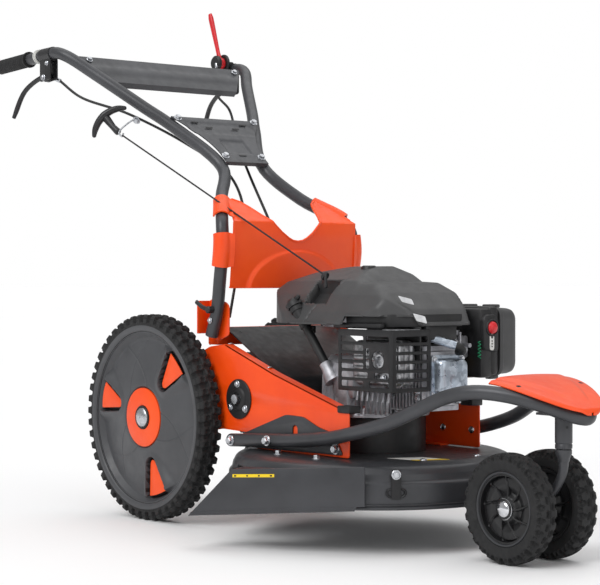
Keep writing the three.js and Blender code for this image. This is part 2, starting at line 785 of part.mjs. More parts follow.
function frontRim(side) {
  const h = FRONT_W / 2;
  const profile = [
    [FRONT_AXLE_R + GAP, -h], [20, -h], [24, -6], [FRONT_RIM_R - 8, -5], [FRONT_RIM_R - 4, -h + 4],
    [FRONT_RIM_R, -h + 4], [FRONT_RIM_R, h - 4], [FRONT_RIM_R - 4, h - 4], [FRONT_RIM_R - 9, 0],
    [24, 4], [18, h - 1], [FRONT_AXLE_R + GAP, h - 1],
  ].map(([r, t]) => [r, side * t]);
  return wheelTurned(profile, FRONT_X, side * FRONT_Y, FRONT_R, CASTER_SEGMENTS);
}

// ---- handle ----

const HANDLE_PATH = [
  [160, -165, 370], [PIVOT_X, -HANDLE_Y, PIVOT_Z], [187, -165, 480], [196, -165, 548],
  [186, -159, 588], [107, -101, 643], [46, -54, 706], [-53, -106, 792], [-105, -140, 832],
  [-200, -198, 904], [-252, -232, 943], [-284, -240, 954], [-330, -240, 953], [-392, -240, 950],
];
const GRIP_END = [-516, -240, 944];
const GRIP_R = 15.5;
const LEVER_PIVOT = [-322, -240, 905];

function handleTube() {
  const tube = rod(HANDLE_PATH, TUBE_R, 32);
  const [x, y, z] = LEVER_PIVOT;
  const bracket = join(
    box([x - 14, y - 10, z - 9], [x + 26, y - 7, z + 44]),
    box([x - 14, y + 7, z - 9], [x + 26, y + 10, z + 44]),
  );
  const core = bar(HANDLE_PATH.at(-1), GRIP_END, TUBE_R - 1, 12);
  return join(tube, bracket, core);
}

function grip() {
  const end = GRIP_END.map((c, i) => c + (i === 0 ? -4 : 0));
  const skin = bar([-394, -240, 949.9], end, GRIP_R, 16);
  const start = HANDLE_PATH.at(-1).map((c, i) => c + (i === 0 ? 20 : 0));
  const past = GRIP_END.map((c, i) => c + 0.5 * (i === 0 ? -1 : 0));
  return cut(skin, bar(start, past, TUBE_R - 1 + 3 * GAP, 12));
}

function handLever() {
  const [x, y, z] = LEVER_PIVOT;
  const blade = rod(
    [
      [x, y, z], [x - 24, y, z + 2], [x - 80, y - 8, z - 24], [x - 116, y - 14, z - 78],
    ],
    5.6, 14, 8,
  );
  return join(blade, pin(5, y - 6, y + 6, x, z, 12));
}

// Channel across the two tubes, lying on their front faces.
function crossBeam() {
  const surface = (u, v) => {
    const half = 210 - 46 * u;
    const across = 2 * v - 1;
    return [-252 + 54 * u + 15, across * half, 946 - 55 * u + 14];
  };
  return sheet(surface, [-1.9, 0, -2.3], 2, 4);
}

// The waisted plate that bolts the two tubes together.
function crossPlate() {
  const surface = (u, v) => {
    const half = 112 - 62 * Math.sin((Math.min(u, 0.86) * Math.PI) / 1.72) + 4 * u;
    const across = 2 * v - 1;
    return [-62 + 112 * u + 11, across * half, 801 - 96 * u + 12];
  };
  return sheet(surface, [-1.6, 0, -1.9], 10, 4);
}

// The bent orange shell in front of the lower tubes, with a wide notch in its top edge.
function handleGuard() {
  const [low, crank, high] = [463, 588, 597];
  const surface = (u, v) => {
    const y = -180 + 360 * u;
    const middle = Math.max(0, 1 - (Math.abs(y) / 132) ** 6);
    const z = low + (high - 28 * middle - low) * v;
    const bend = Math.max(0, z - crank);
    const bulge = 10 * Math.cos((y / 180) * (Math.PI / 2));
    return [204 + (z - low) * 0.08 - bend * 1.2 + bulge, y * (1 - bend * 0.006), z];
  };
  return sheet(surface, [2.5, 0, 1], 14, 6);
}

function throttleLever() {
  const base = [-318, 212, 972];
  const tip = [-356, 212, 1084];
  return join(bar(base, tip, 7, 10), pin(13, 206, 218, base[0], base[2] - 4, 16));
}

function clampLever() {
  const arm = bar([PIVOT_X, -184, PIVOT_Z], [PIVOT_X - 34, -188, PIVOT_Z + 14], 4.5, 10);
  return join(arm, pin(7, -188, -HANDLE_Y - TUBE_R - 1, PIVOT_X, PIVOT_Z, 14));
}

// ---- starter rope, its handle, and control cables ----

const ROPE = [[414, -90, 487], [240, -126, 583], [66, -163, 680], [-100, -198, 772]];
const ROPE_END = [-112, -200.5, 779];

function starterGrip() {
  const [x, y, z] = ROPE_END;
  const neck = bar([x - 1, y, z + 1], [x - 28, y - 6, z + 20], 8, 12);
  return join(neck, bar([x - 52, y - 6, z + 2], [x - 12, y - 6, z + 42], 8.5, 12));
}

const DRIVE_CABLE = [
  [-300, -223, 898], [-256, -200, 862], [-150, -150, 822], [-60, -70, 760], [40, -30, 690],
  [86, -30, 620], [118, -60, 540], [150, -100, 470], [158, -120, 405],
];
const THROTTLE_CABLE = [
  [-312, 198, 960], [-290, 180, 900], [-200, 150, 850], [-80, 80, 770], [30, 30, 690],
  [92, 30, 600], [120, 60, 500], [168, 60, 420], [250, 40, 390],
];

// ---- assembly ----

add("deck_pan", deckPan(), GRAPHITE);
add("discharge_panel", dischargePanel(), GRAPHITE);
add("blade", blade(), BLACK_STEEL);
add("engine_pedestal", pedestal(), BLACK_STEEL);
add("crankcase", crankcase(), DIE_CAST);
add("rocker_cover", rockerCover(), ZINC);
add("muffler", muffler(), ZINC);
add("muffler_guard", mufflerGuard(), BLACK_STEEL);
add("blower_cover", blowerCover(), BLACK_PLASTIC);
add("oil_filler", oilFiller(), BLACK_PLASTIC);
add("oil_cap", oilCap(), BLACK_PLASTIC);
add("carburettor", carburettor(), DIE_CAST);
add("air_filter_base", filterBase(), BLACK_PLASTIC);
add("air_filter_cover", filterCover(), BLACK_PLASTIC);
add("primer_button", primerButton(), RED);
add("fuel_tank", fuelTank(), BLACK_PLASTIC);
add("fuel_cap", fuelCap(), BLACK_PLASTIC);
add("spark_plug_boot", bar([DECK_X + 182, -30, 377], [DECK_X + 214, 8, 362], 7.5, 12), ZINC);
add("crankshaft", crankshaft(), ZINC);
add("flywheel", flywheel(), DIE_CAST);
add("drive_belt", driveBelt(), RUBBER);
add("gearbox", gearbox(), DIE_CAST);
add("gearbox_pulley", gearboxPulley(), ZINC);
add("cross_shaft", crossShaft(), ZINC);
add("rear_axle", rearAxle(), ZINC);
add("drive_chain", driveChain(), ZINC);
addPair("side_plate", frameSide(), ORANGE);
addPair("frame_bracket", frameBracket(), GRAPHITE);
addPair("bearing_flange", bearingFlange(), BLACK_STEEL);
add("rear_cross_member", crossMember(), ORANGE);
add("rear_cover", rearCover(), BLACK_STEEL);
add("front_frame", frontFrame(), GRAPHITE);
add("nose_cover", noseCover(), ORANGE);
add("caster_fork", casterFork(), GRAPHITE);
for (const [name, side] of [["right", -1], ["left", 1]]) {
  add(`rear_tyre_${name}`, rearTyre(side), RUBBER);
  add(`rear_disc_${name}`, rearDisc(side), DISC_GREY);
  add(`front_tyre_${name}`, frontTyre(side), RUBBER);
  add(`front_rim_${name}`, frontRim(side), BLACK_PLASTIC);
}
addPair("handle_tube", handleTube(), GRAPHITE);
addPair("grip", grip(), BLACK_PLASTIC);
addPair("hand_lever", handLever(), BLACK_PLASTIC);
add("cross_beam", crossBeam(), GRAPHITE);
add("cross_plate", crossPlate(), GRAPHITE);
add("handle_guard", handleGuard(), ORANGE);
add("throttle_lever", throttleLever(), RED);
add("clamp_lever", clampLever(), BLACK_PLASTIC);
add("starter_grip", starterGrip(), BLACK_PLASTIC);
add("starter_rope", rod(ROPE, 1.6, 12, 8), RUBBER);
add("drive_cable", rod(DRIVE_CABLE, 2.8, 34, 6), RUBBER);
add("throttle_cable", rod(THROTTLE_CABLE, 2.8, 34, 6), RUBBER);

// The origin is on the ground under the middle of the machine's box.
const extent = new THREE.Box3().setFromObject(mower);
const middle = extent.getCenter(new THREE.Vector3());
mower.position.set(-middle.x, -middle.y, 0);

const part = new THREE.Group();
part.add(mower);

export default part;
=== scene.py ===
"""The looks of a walk-behind rough-cut mower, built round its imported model.

Lengths are written in millimetres from the ground under the middle of the rear axle: x forward,
y to the machine's left, z up. place() turns them into metres in the row's frame.
"""

import json
import math

import bmesh
import bpy
import numpy as np
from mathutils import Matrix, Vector


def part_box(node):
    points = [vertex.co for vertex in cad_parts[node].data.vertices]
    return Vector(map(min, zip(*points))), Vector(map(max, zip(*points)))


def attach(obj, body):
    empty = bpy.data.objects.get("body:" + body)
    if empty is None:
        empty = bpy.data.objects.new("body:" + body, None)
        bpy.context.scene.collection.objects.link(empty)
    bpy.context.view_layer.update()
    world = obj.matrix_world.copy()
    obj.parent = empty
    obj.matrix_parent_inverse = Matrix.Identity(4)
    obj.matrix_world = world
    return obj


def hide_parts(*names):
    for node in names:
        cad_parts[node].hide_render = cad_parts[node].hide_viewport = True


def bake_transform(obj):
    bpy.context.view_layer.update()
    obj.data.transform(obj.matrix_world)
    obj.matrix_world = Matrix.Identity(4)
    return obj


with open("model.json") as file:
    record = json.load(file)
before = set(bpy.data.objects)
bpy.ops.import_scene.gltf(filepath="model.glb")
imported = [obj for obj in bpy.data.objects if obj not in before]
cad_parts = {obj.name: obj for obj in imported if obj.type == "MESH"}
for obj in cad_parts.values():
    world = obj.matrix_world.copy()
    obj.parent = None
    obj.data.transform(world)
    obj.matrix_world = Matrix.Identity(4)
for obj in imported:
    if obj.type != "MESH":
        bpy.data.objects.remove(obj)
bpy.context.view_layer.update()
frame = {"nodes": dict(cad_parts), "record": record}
AXLE_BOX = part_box("rear_axle")
UNDER_AXLE = np.array([*((AXLE_BOX[0] + AXLE_BOX[1]) / 2).xy, 0.0])
RIGHT, LEFT = -1, 1


def place(points):
    """Millimetres from under the rear axle, as metres in the row's frame."""
    return np.asarray(points, float) / 1000 + UNDER_AXLE


# ---- shells: (points, four-cornered faces, other faces), in millimetres ----


def lattice(rows, columns, round_rows=False, round_columns=False):
    """The corner numbers of the squares in a grid of points, which may close on itself."""
    i = np.arange(rows if round_rows else rows - 1)[:, None]
    j = np.arange(columns if round_columns else columns - 1)[None, :]
    near, far = i * columns, (i + 1) % rows * columns
    after = (j + 1) % columns
    corners = np.broadcast_arrays(near + j, near + after, far + after, far + j)
    return np.stack(corners, -1).reshape(-1, 4)


def joined(*shells):
    """Several shells as one."""
    starts = np.cumsum([0] + [len(s[0]) for s in shells])
    return (
        np.concatenate([s[0] for s in shells]),
        np.concatenate([s[1] + n for s, n in zip(shells, starts)]),
        [[int(c + n) for c in face] for s, n in zip(shells, starts) for face in s[2]],
    )


def moved(shell, offset):
    return shell[0] + np.asarray(offset, float), shell[1], shell[2]


def mirrored(shell):
    """The same shell on the machine's other side."""
    return shell[0] * (1, -1, 1), shell[1], shell[2]


def unit(vectors):
    v = np.asarray(vectors, float)
    return v / np.maximum(np.linalg.norm(v, axis=-1, keepdims=True), 1e-9)


def basis(axis):
    """Two directions square to an axis and to each other, and the axis itself."""
    a = unit(axis)
    side = unit(np.cross(a, (0.0, 0.0, 1.0) if abs(a[2]) < 0.9 else (1.0, 0.0, 0.0)))
    return side, np.cross(side, a), a


def laid(shell, at, u, v):
    """A shell drawn flat, with its x along u and its y along v from the point at."""
    u, v = unit(u), unit(v)
    x, y, z = shell[0].T[..., None]
    return np.asarray(at, float) + x * u + y * v + z * np.cross(u, v), shell[1], shell[2]


def turned(profile, at, axis, sides=48, ring=False):
    """A profile of (radius, height) points turned about an axis through at. It starts and ends
    on the axis, or is a ring that closes on itself."""
    r, h = np.asarray(profile, float).T
    angle = np.arange(sides) * 2 * np.pi / sides
    u, v, a = basis(axis)
    circle = np.cos(angle)[:, None] * u + np.sin(angle)[:, None] * v
    points = np.asarray(at, float) + r[:, None, None] * circle + h[:, None, None] * a
    return points.reshape(-1, 3), lattice(len(r), sides, ring, True), []


def rounded(outline, radius, steps=4, ends=False):
    """A closed outline with its corners rounded: each becomes a quadratic curve that starts and
    ends a radius away from it, or less beside a short side. With ends it is an open line."""
    p = np.asarray(outline, float)
    back, on = np.roll(p, 1, 0) - p, np.roll(p, -1, 0) - p
    length = np.minimum(np.linalg.norm(back, axis=1), np.linalg.norm(on, axis=1))
    cut = np.minimum(radius, 0.48 * length)[:, None]
    a, b = p + unit(back) * cut, p + unit(on) * cut
    t = np.linspace(0, 1, steps + 1)[:, None, None]
    q = ((1 - t) ** 2 * a + 2 * t * (1 - t) * p + t**2 * b).transpose(1, 0, 2)
    if ends:
        return np.concatenate([p[:1], q[1:-1].reshape(-1, p.shape[1]), p[-1:]])
    return q.reshape(-1, p.shape[1])


def arc(centre, radius, start, stop, steps=12):
    """Points on part of a circle, angles in degrees."""
    t = np.radians(np.linspace(start, stop, steps + 1))
    return np.asarray(centre, float) + radius * np.column_stack([np.cos(t), np.sin(t)])


def smooth_path(points, per_span=8):
    """A curve through the points: on each span a cubic, whose slope at a point is the mean of
    the two spans beside it, weighted by the root of their lengths."""
    p = np.asarray(points, float)
    gap = np.sqrt(np.linalg.norm(np.diff(p, axis=0), axis=1))[:, None]
    rate = np.diff(p, axis=0) / gap
    slope = np.vstack([rate[:1], rate])
    slope[1:-1] = (rate[:-1] * gap[1:] + rate[1:] * gap[:-1]) / (gap[:-1] + gap[1:])
    t = (np.arange(per_span) / per_span)[:, None]
    start, rise = 2 * t**3 - 3 * t**2 + 1, t**3 - 2 * t**2 + t
    stop, fall = 3 * t**2 - 2 * t**3, t**3 - t**2
    spans = [
        start * a + rise * g * ma + stop * b + fall * g * mb
        for a, b, g, ma, mb in zip(p[:-1], p[1:], gap, slope[:-1], slope[1:])
    ]
    return np.concatenate([*spans, p[-1:]])


def carried(section, path, up=(0.0, 0.0, 1.0), scale=1.0, closed=False):
    """A closed outline carried along a path, its second axis kept towards up."""
    p, s = np.asarray(path, float), np.asarray(section, float)
    if closed:
        along = unit(np.roll(p, -1, 0) - np.roll(p, 1, 0))
    else:
        along = unit(np.gradient(p, axis=0))
    side = unit(np.cross(along, up))
    over = np.cross(side, along)
    size = np.broadcast_to(np.asarray(scale, float).reshape(-1, 1, 1), (len(p), 1, 1))
    flat = s[None, :, 0, None] * side[:, None] + s[None, :, 1, None] * over[:, None]
    points = (p[:, None] + size * flat).reshape(-1, 3)
    k, last = len(s), (len(p) - 1) * len(s)
    caps = [] if closed else [list(range(k))[::-1], list(range(last, last + k))]
    return points, lattice(len(p), k, closed, True), caps


def circle(radius, sides=16):
    t = (np.arange(sides) + 0.5) * 2 * np.pi / sides
    return radius * np.column_stack([np.cos(t), np.sin(t)])


def tube(path, radius, sides=16, up=(0.31, 0.17, 0.94), dome=0.0):
    """A round bar or tube along a path; dome rounds its ends by that share of the radius."""
    p = np.asarray(path, float)
    r = np.broadcast_to(np.asarray(radius, float), (len(p),)).copy()
    if dome:
        turn = np.radians(np.linspace(80, 20, 4))
        head, tail = unit(p[0] - p[1]), unit(p[-1] - p[-2])
        before = p[0] + head * (np.sin(turn) * dome * r[0])[:, None]
        after = p[-1] + tail * (np.sin(turn) * dome * r[-1])[:, None]
        p = np.concatenate([before, p, after[::-1]])
        r = np.concatenate([np.cos(turn) * r[0], r, (np.cos(turn) * r[-1])[::-1]])
    return carried(circle(1.0, sides), p, up, r)


def sheet(points, thickness, ring=False):
    """A thin wall on a grid of points: the grid, its copy set back along the normals, and the
    strips that join their rims. With ring the columns close on themselves."""
    rows, columns = points.shape[:2]
    across = np.gradient(points, axis=0)
    if ring:
        along = np.roll(points, -1, 1) - np.roll(points, 1, 1)
    else:
        along = np.gradient(points, axis=1)
    back = points - unit(np.cross(along, across)) * thickness
    n = rows * columns
    front = lattice(rows, columns, False, ring)
    walls = [front, front[:, ::-1] + n]
    number = np.arange(n).reshape(rows, columns)
    rims = [number[0], number[-1]]
    if ring:
        rims = [np.append(r, r[0]) for r in rims]
    else:
        rims += [number[:, 0], number[:, -1]]
    walls += [np.stack([r[:-1], r[1:], r[1:] + n, r[:-1] + n], -1) for r in rims]
    return np.concatenate([points.reshape(-1, 3), back.reshape(-1, 3)]), np.concatenate(walls), []


def block(low, high, radius=1.5, steps=2):
    """A box with round edges: a ball of that radius, whose eight parts are moved to the eight
    inner corners."""
    low, high = np.asarray(low, float), np.asarray(high, float)
    radius = min(radius, 0.49 * (high - low).min())
    centre, half = (low + high) / 2, (high - low) / 2 - radius
    k = steps + 1
    around = np.linspace(0, 90, k)
    turn = np.radians(np.concatenate([around + 90 * q for q in range(4)]))
    tip = np.radians(np.concatenate([np.linspace(-90, 0, k), np.linspace(0, 90, k)]))
    sx = np.repeat([1, -1, -1, 1], k)
    sy = np.repeat([1, 1, -1, -1], k)
    sz = np.repeat([-1, 1], k)[:, None]
    ball = np.stack(
        [
            np.cos(tip)[:, None] * np.cos(turn),
            np.cos(tip)[:, None] * np.sin(turn),
            np.broadcast_to(np.sin(tip)[:, None], (2 * k, 4 * k)),
        ],
        -1,
    )
    corner = np.stack(np.broadcast_arrays(sx * half[0], sy * half[1], sz * half[2]), -1)
    points = (centre + corner + radius * ball).reshape(-1, 3)
    last = (2 * k - 1) * 4 * k
    bottom = [0, 3 * k, 2 * k, k]
    return points, lattice(2 * k, 4 * k, False, True), [bottom, [last + c for c in bottom[::-1]]]


def cut_plate(outline, thickness, holes=(), edge=0.5):
    """A flat plate with holes, drawn in x and y, z from 0 to thickness, its edges eased."""
    curve = bpy.data.curves.new("outline", "CURVE")
    curve.dimensions, curve.fill_mode = "2D", "BOTH"
    curve.extrude, curve.bevel_depth = thickness / 2 - edge, edge
    curve.bevel_resolution, curve.offset = 1, -edge
    for ring in (outline, *holes):
        spline = curve.splines.new("POLY")
        spline.points.add(len(ring) - 1)
        flat = np.column_stack([ring, np.zeros(len(ring)), np.ones(len(ring))])
        spline.points.foreach_set("co", flat.ravel())
        spline.use_cyclic_u = True
    holder = bpy.data.objects.new("outline", curve)
    bpy.context.scene.collection.objects.link(holder)
    mesh = bpy.data.meshes.new_from_object(
        holder.evaluated_get(bpy.context.evaluated_depsgraph_get())
    )
    points = np.empty(len(mesh.vertices) * 3)
    mesh.vertices.foreach_get("co", points)
    faces = [list(face.vertices) for face in mesh.polygons]
    bpy.data.objects.remove(holder)
    bpy.data.curves.remove(curve)
    bpy.data.meshes.remove(mesh)
    points = points.reshape(-1, 3) + (0, 0, thickness / 2)
    return points, np.zeros((0, 4), int), faces


def side_plate(outline, y, thickness, holes=(), edge=0.5):
    """A plate drawn in x and z that stands in the machine's length, from y towards the right."""
    return laid(cut_plate(outline, thickness, holes, edge), (0, y, 0), (1, 0, 0), (0, 0, 1))


def hexagon_bolt(at, axis, across=10.0, height=5.0, washer=1.4):
    """A hexagon head with chamfered corners on its washer; at is where the washer sits."""
    r = across / math.sqrt(3)
    head = [(0, height), (0.8 * r, height), (r, 0.78 * height), (r, 0), (0, 0)]
    disc = [(0, washer), (1.25 * r, washer), (1.35 * r, 0.6 * washer), (1.35 * r, 0), (0, 0)]
    top = np.asarray(at, float) + unit(axis) * washer
    return joined(turned(head, top, axis, 6), turned(disc, at, axis, 20))


def dome_bolt(at, axis, radius=7.0, height=4.0):
    """A round coach-bolt head."""
    t = np.radians(np.linspace(90, 0, 6))
    profile = np.column_stack([radius * np.cos(t), height * np.sin(t)])
    return turned([*profile, (0, 0)], at, axis, 20)


def cap_screw(at, axis, radius=4.5, height=4.0):
    """A cylinder-head screw with a round socket in its top."""
    r = radius
    profile = [(0, 0.4 * height), (0.45 * r, 0.4 * height), (0.5 * r, height), (0.86 * r, height)]
    return turned([*profile, (r, 0.8 * height), (r, 0), (0, 0)], at, axis, 16)


# ---- pieces ----


def piece(name, shell, finish, body, replaces=(), smooth=35, bevel=0.0, weld=True):
    """One visible piece from a shell: welded, with its faces outwards, shaded smooth below an
    angle, its sharp edges eased by bevel millimetres, and riding on a body."""
    points, quads, other = shell
    mesh = bpy.data.meshes.new(name)
    mesh.from_pydata(place(points).tolist(), [], quads.tolist() + other)
    work = bmesh.new()
    work.from_mesh(mesh)
    if weld:
        bmesh.ops.remove_doubles(work, verts=work.verts, dist=1e-6)
    bmesh.ops.recalc_face_normals(work, faces=work.faces)
    work.to_mesh(mesh)
    work.free()
    mesh.shade_smooth()
    mesh.set_sharp_from_angle(angle=math.radians(smooth))
    mesh.materials.append(finish)
    made = bpy.data.objects.new(name, mesh)
    bpy.context.scene.collection.objects.link(made)
    if bevel:
        ease = made.modifiers.new("eased edges", "BEVEL")
        ease.width, ease.segments = bevel / 1000, 2
        ease.limit_method, ease.angle_limit = "ANGLE", math.radians(32)
        ease.use_clamp_overlap = True
    if body:
        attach(made, body)
    if replaces:
        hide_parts(*([replaces] if isinstance(replaces, str) else replaces))
    return made


def second_finish(made, finish, where):
    """Faces whose middles meet a test, on points in millimetres, take another finish."""
    mesh = made.data
    mesh.materials.append(finish)
    middles = np.empty(len(mesh.polygons) * 3)
    mesh.polygons.foreach_get("center", middles)
    chosen = where((middles.reshape(-1, 3) - UNDER_AXLE) * 1000)
    mesh.polygons.foreach_set("material_index", chosen.astype(np.int32))


# ---- finishes ----


def srgb(red, green, blue):
    """A colour given as 0 to 255, as the shader's linear values."""
    c = np.array([red, green, blue]) / 255
    return (*np.where(c <= 0.04045, c / 12.92, ((c + 0.055) / 1.055) ** 2.4), 1.0)


def bare_finish(name, colour, roughness, metallic=0.0, **sockets):
    """A material with its principled shader set, and its node tree."""
    material = bpy.data.materials.new(name)
    material.use_nodes = True
    tree = material.node_tree
    shader = tree.nodes["Principled BSDF"]
    shader.inputs["Base Color"].default_value = colour
    shader.inputs["Roughness"].default_value = roughness
    shader.inputs["Metallic"].default_value = metallic
    for socket, value in sockets.items():
        shader.inputs[socket.replace("_", " ")].default_value = value
    material.diffuse_color = colour
    return material, tree, shader


def object_grid(tree, stretch=(1, 1, 1)):
    """Object coordinates, stretched along each axis."""
    place_node = tree.nodes.new("ShaderNodeTexCoord")
    mapping = tree.nodes.new("ShaderNodeMapping")
    mapping.inputs["Scale"].default_value = stretch
    tree.links.new(place_node.outputs["Object"], mapping.inputs["Vector"])
    return mapping.outputs["Vector"]


def cloud(tree, scale, detail=3.0, rough=0.55, stretch=(1, 1, 1)):
    """A soft noise over the piece; scale is how many blots there are in a metre."""
    noise = tree.nodes.new("ShaderNodeTexNoise")
    noise.inputs["Scale"].default_value = scale
    noise.inputs["Detail"].default_value = detail
    noise.inputs["Roughness"].default_value = rough
    tree.links.new(object_grid(tree, stretch), noise.inputs["Vector"])
    return noise.outputs["Fac"]


def ranged(tree, value, low, high, start=0.3, stop=0.7):
    """A value from start to stop as a number from low to high."""
    node = tree.nodes.new("ShaderNodeMapRange")
    node.inputs["From Min"].default_value = start
    node.inputs["From Max"].default_value = stop
    node.inputs["To Min"].default_value = low
    node.inputs["To Max"].default_value = high
    tree.links.new(value, node.inputs["Value"])
    return node.outputs["Result"]


def between(tree, share, first, second):
    """A colour between two, by a share."""
    ramp = tree.nodes.new("ShaderNodeValToRGB")
    ramp.color_ramp.elements[0].position = 0.25
    ramp.color_ramp.elements[1].position = 0.75
    ramp.color_ramp.elements[0].color = first
    ramp.color_ramp.elements[1].color = second
    tree.links.new(share, ramp.inputs["Fac"])
    return ramp.outputs["Color"]


def raised(tree, shader, height, depth_mm, strength=1.0, under=None):
    """A fine relief: a height from 0 to 1 that stands depth_mm proud."""
    bump = tree.nodes.new("ShaderNodeBump")
    bump.inputs["Strength"].default_value = strength
    bump.inputs["Distance"].default_value = depth_mm / 1000
    tree.links.new(height, bump.inputs["Height"])
    if under is not None:
        tree.links.new(under, bump.inputs["Normal"])
    tree.links.new(bump.outputs["Normal"], shader.inputs["Normal"])
    return bump.outputs["Normal"]


def coated_finish(name, dark, light, gloss, peel=0.02, peel_scale=900, **sockets):
    """Paint or smooth moulding: broad faint shade changes, roughness that wanders between the
    two gloss values, and a fine peel in the surface."""
    material, tree, shader = bare_finish(name, light, gloss[0], **sockets)
    broad = cloud(tree, 9, 4)
    tree.links.new(between(tree, broad, dark, light), shader.inputs["Base Color"])
    tree.links.new(ranged(tree, cloud(tree, 60, 5), *gloss), shader.inputs["Roughness"])
    waves = raised(tree, shader, cloud(tree, peel_scale, 2), peel)
    raised(tree, shader, cloud(tree, 70, 2), peel * 2.5, under=waves)
    return material


def orange_paint():
    """Powder coat on the pressed plates."""
    return coated_finish(
        "orange powder coat", srgb(236, 66, 0), srgb(255, 84, 4), (0.34, 0.48), 0.012, 1300,
        Coat_Weight=0.25, Coat_Roughness=0.18,
    )


def orange_moulding():
    """The glossy moulded shell on the handle and the inserts of the wheels."""
    return coated_finish(
        "orange moulding", srgb(242, 68, 0), srgb(255, 86, 4), (0.36, 0.5), 0.02, 1500,
        Subsurface_Weight=0.04,
    )


def graphite_paint():
    """Dark grey paint on the handle, the front frame and the caster."""
    return coated_finish(
        "graphite paint", srgb(54, 55, 58), srgb(72, 73, 77), (0.36, 0.52), 0.015, 1400,
        Metallic=0.25, Coat_Weight=0.15, Coat_Roughness=0.25,
    )


def deck_paint():
    """Dark grey paint on the drawn steel of the deck."""
    return coated_finish(
        "deck paint", srgb(50, 51, 54), srgb(66, 67, 71), (0.34, 0.5), 0.015, 1200,
        Metallic=0.3, Coat_Weight=0.2, Coat_Roughness=0.2,
    )


def black_paint():
    """Satin black on brackets, flanges and the pedestal."""
    return coated_finish(
        "satin black paint", srgb(22, 22, 24), srgb(33, 33, 35), (0.38, 0.55), 0.02, 1100,
        Metallic=0.15,
    )


def moulded_plastic(name, dark, light, gloss, grain=0.03, scale=2600):
    """Moulded plastic with the leathery grain of an etched mould."""
    material, tree, shader = bare_finish(name, light, gloss[0])
    tree.links.new(between(tree, cloud(tree, 14, 3), dark, light), shader.inputs["Base Color"])
    tree.links.new(ranged(tree, cloud(tree, 45, 4), *gloss), shader.inputs["Roughness"])
    cells = tree.nodes.new("ShaderNodeTexVoronoi")
    cells.feature = "SMOOTH_F1"
    cells.inputs["Scale"].default_value = scale
    tree.links.new(object_grid(tree), cells.inputs["Vector"])
    raised(tree, shader, cells.outputs["Distance"], grain)
    return material


def rubber(name, dark, light, scale=520):
    """Moulded rubber: dull, with a dry bloom in broad patches and a fine pitted grain."""
    material, tree, shader = bare_finish(name, dark, 0.82)
    bloom = cloud(tree, 16, 6, 0.65)
    tree.links.new(between(tree, bloom, dark, light), shader.inputs["Base Color"])
    tree.links.new(ranged(tree, cloud(tree, 90, 4), 0.7, 0.92), shader.inputs["Roughness"])
    pits = raised(tree, shader, cloud(tree, scale, 6, 0.7), 0.12)
    raised(tree, shader, cloud(tree, scale * 5, 2), 0.03, under=pits)
    return material


def plated_steel(name, dark, light, gloss, scratch=0.01):
    """Bright plated or ground steel, with clouding and short drawn scratches."""
    material, tree, shader = bare_finish(name, light, gloss[0], 1.0)
    tree.links.new(between(tree, cloud(tree, 120, 4), dark, light), shader.inputs["Base Color"])
    tree.links.new(ranged(tree, cloud(tree, 260, 5), *gloss), shader.inputs["Roughness"])
    raised(tree, shader, cloud(tree, 700, 3, 0.6, (1, 1, 14)), scratch)
    return material


def cast_metal(name, dark, light, gloss=(0.42, 0.62)):
    """Die-cast aluminium: a fine sandy skin with duller patches."""
    material, tree, shader = bare_finish(name, light, gloss[0], 0.85)
    tree.links.new(between(tree, cloud(tree, 60, 6, 0.65), dark, light),
                   shader.inputs["Base Color"])
    tree.links.new(ranged(tree, cloud(tree, 150, 4), *gloss), shader.inputs["Roughness"])
    raised(tree, shader, cloud(tree, 1600, 5, 0.7), 0.09)
    return material


def sheet_metal(name, dark, light, gloss):
    """Zinc-coated sheet with its crystal spangle."""
    material, tree, shader = bare_finish(name, light, gloss[0], 0.9)
    crystals = tree.nodes.new("ShaderNodeTexVoronoi")
    crystals.inputs["Scale"].default_value = 140
    tree.links.new(object_grid(tree), crystals.inputs["Vector"])
    grey = tree.nodes.new("ShaderNodeRGBToBW")
    tree.links.new(crystals.outputs["Color"], grey.inputs["Color"])
    tree.links.new(between(tree, grey.outputs["Val"], dark, light), shader.inputs["Base Color"])
    tree.links.new(ranged(tree, grey.outputs["Val"], *gloss, 0, 1), shader.inputs["Roughness"])
    raised(tree, shader, cloud(tree, 900, 3), 0.01)
    return material


def twisted_cord(name, dark, light):
    """A laid cord: slanting strands from the piece's own map, round and along it."""
    material, tree, shader = bare_finish(name, light, 0.8)
    lines = tree.nodes.new("ShaderNodeTexWave")
    lines.wave_type, lines.bands_direction = "BANDS", "DIAGONAL"
    lines.inputs["Scale"].default_value = 1.0
    lines.inputs["Distortion"].default_value = 0.6
    places = tree.nodes.new("ShaderNodeUVMap")
    tree.links.new(places.outputs["UV"], lines.inputs["Vector"])
    tree.links.new(between(tree, lines.outputs["Fac"], dark, light), shader.inputs["Base Color"])
    raised(tree, shader, lines.outputs["Fac"], 0.35)
    return material


ORANGE = orange_paint()
ORANGE_SHELL = orange_moulding()
GRAPHITE = graphite_paint()
DECK = deck_paint()
BLACK = black_paint()
PLASTIC = moulded_plastic("black plastic", srgb(20, 20, 21), srgb(31, 31, 33), (0.42, 0.58))
LEVER = moulded_plastic("lever plastic", srgb(24, 24, 26), srgb(36, 36, 38), (0.34, 0.48), 0.02)
RIM_BLACK = moulded_plastic("rim plastic", srgb(18, 18, 19), srgb(28, 28, 30), (0.34, 0.5), 0.02)
WHEEL_GREY = moulded_plastic("wheel grey", srgb(62, 63, 66), srgb(76, 77, 80), (0.4, 0.54), 0.03)
RIM_GREY = moulded_plastic("rim grey", srgb(48, 49, 52), srgb(60, 61, 64), (0.42, 0.56), 0.03)
RED = moulded_plastic("red plastic", srgb(196, 24, 34), srgb(222, 38, 46), (0.26, 0.36), 0.01)
TYRE = rubber("tyre rubber", srgb(25, 25, 26), srgb(40, 40, 41))
GRIP = rubber("grip rubber", srgb(20, 20, 21), srgb(33, 33, 34), 900)
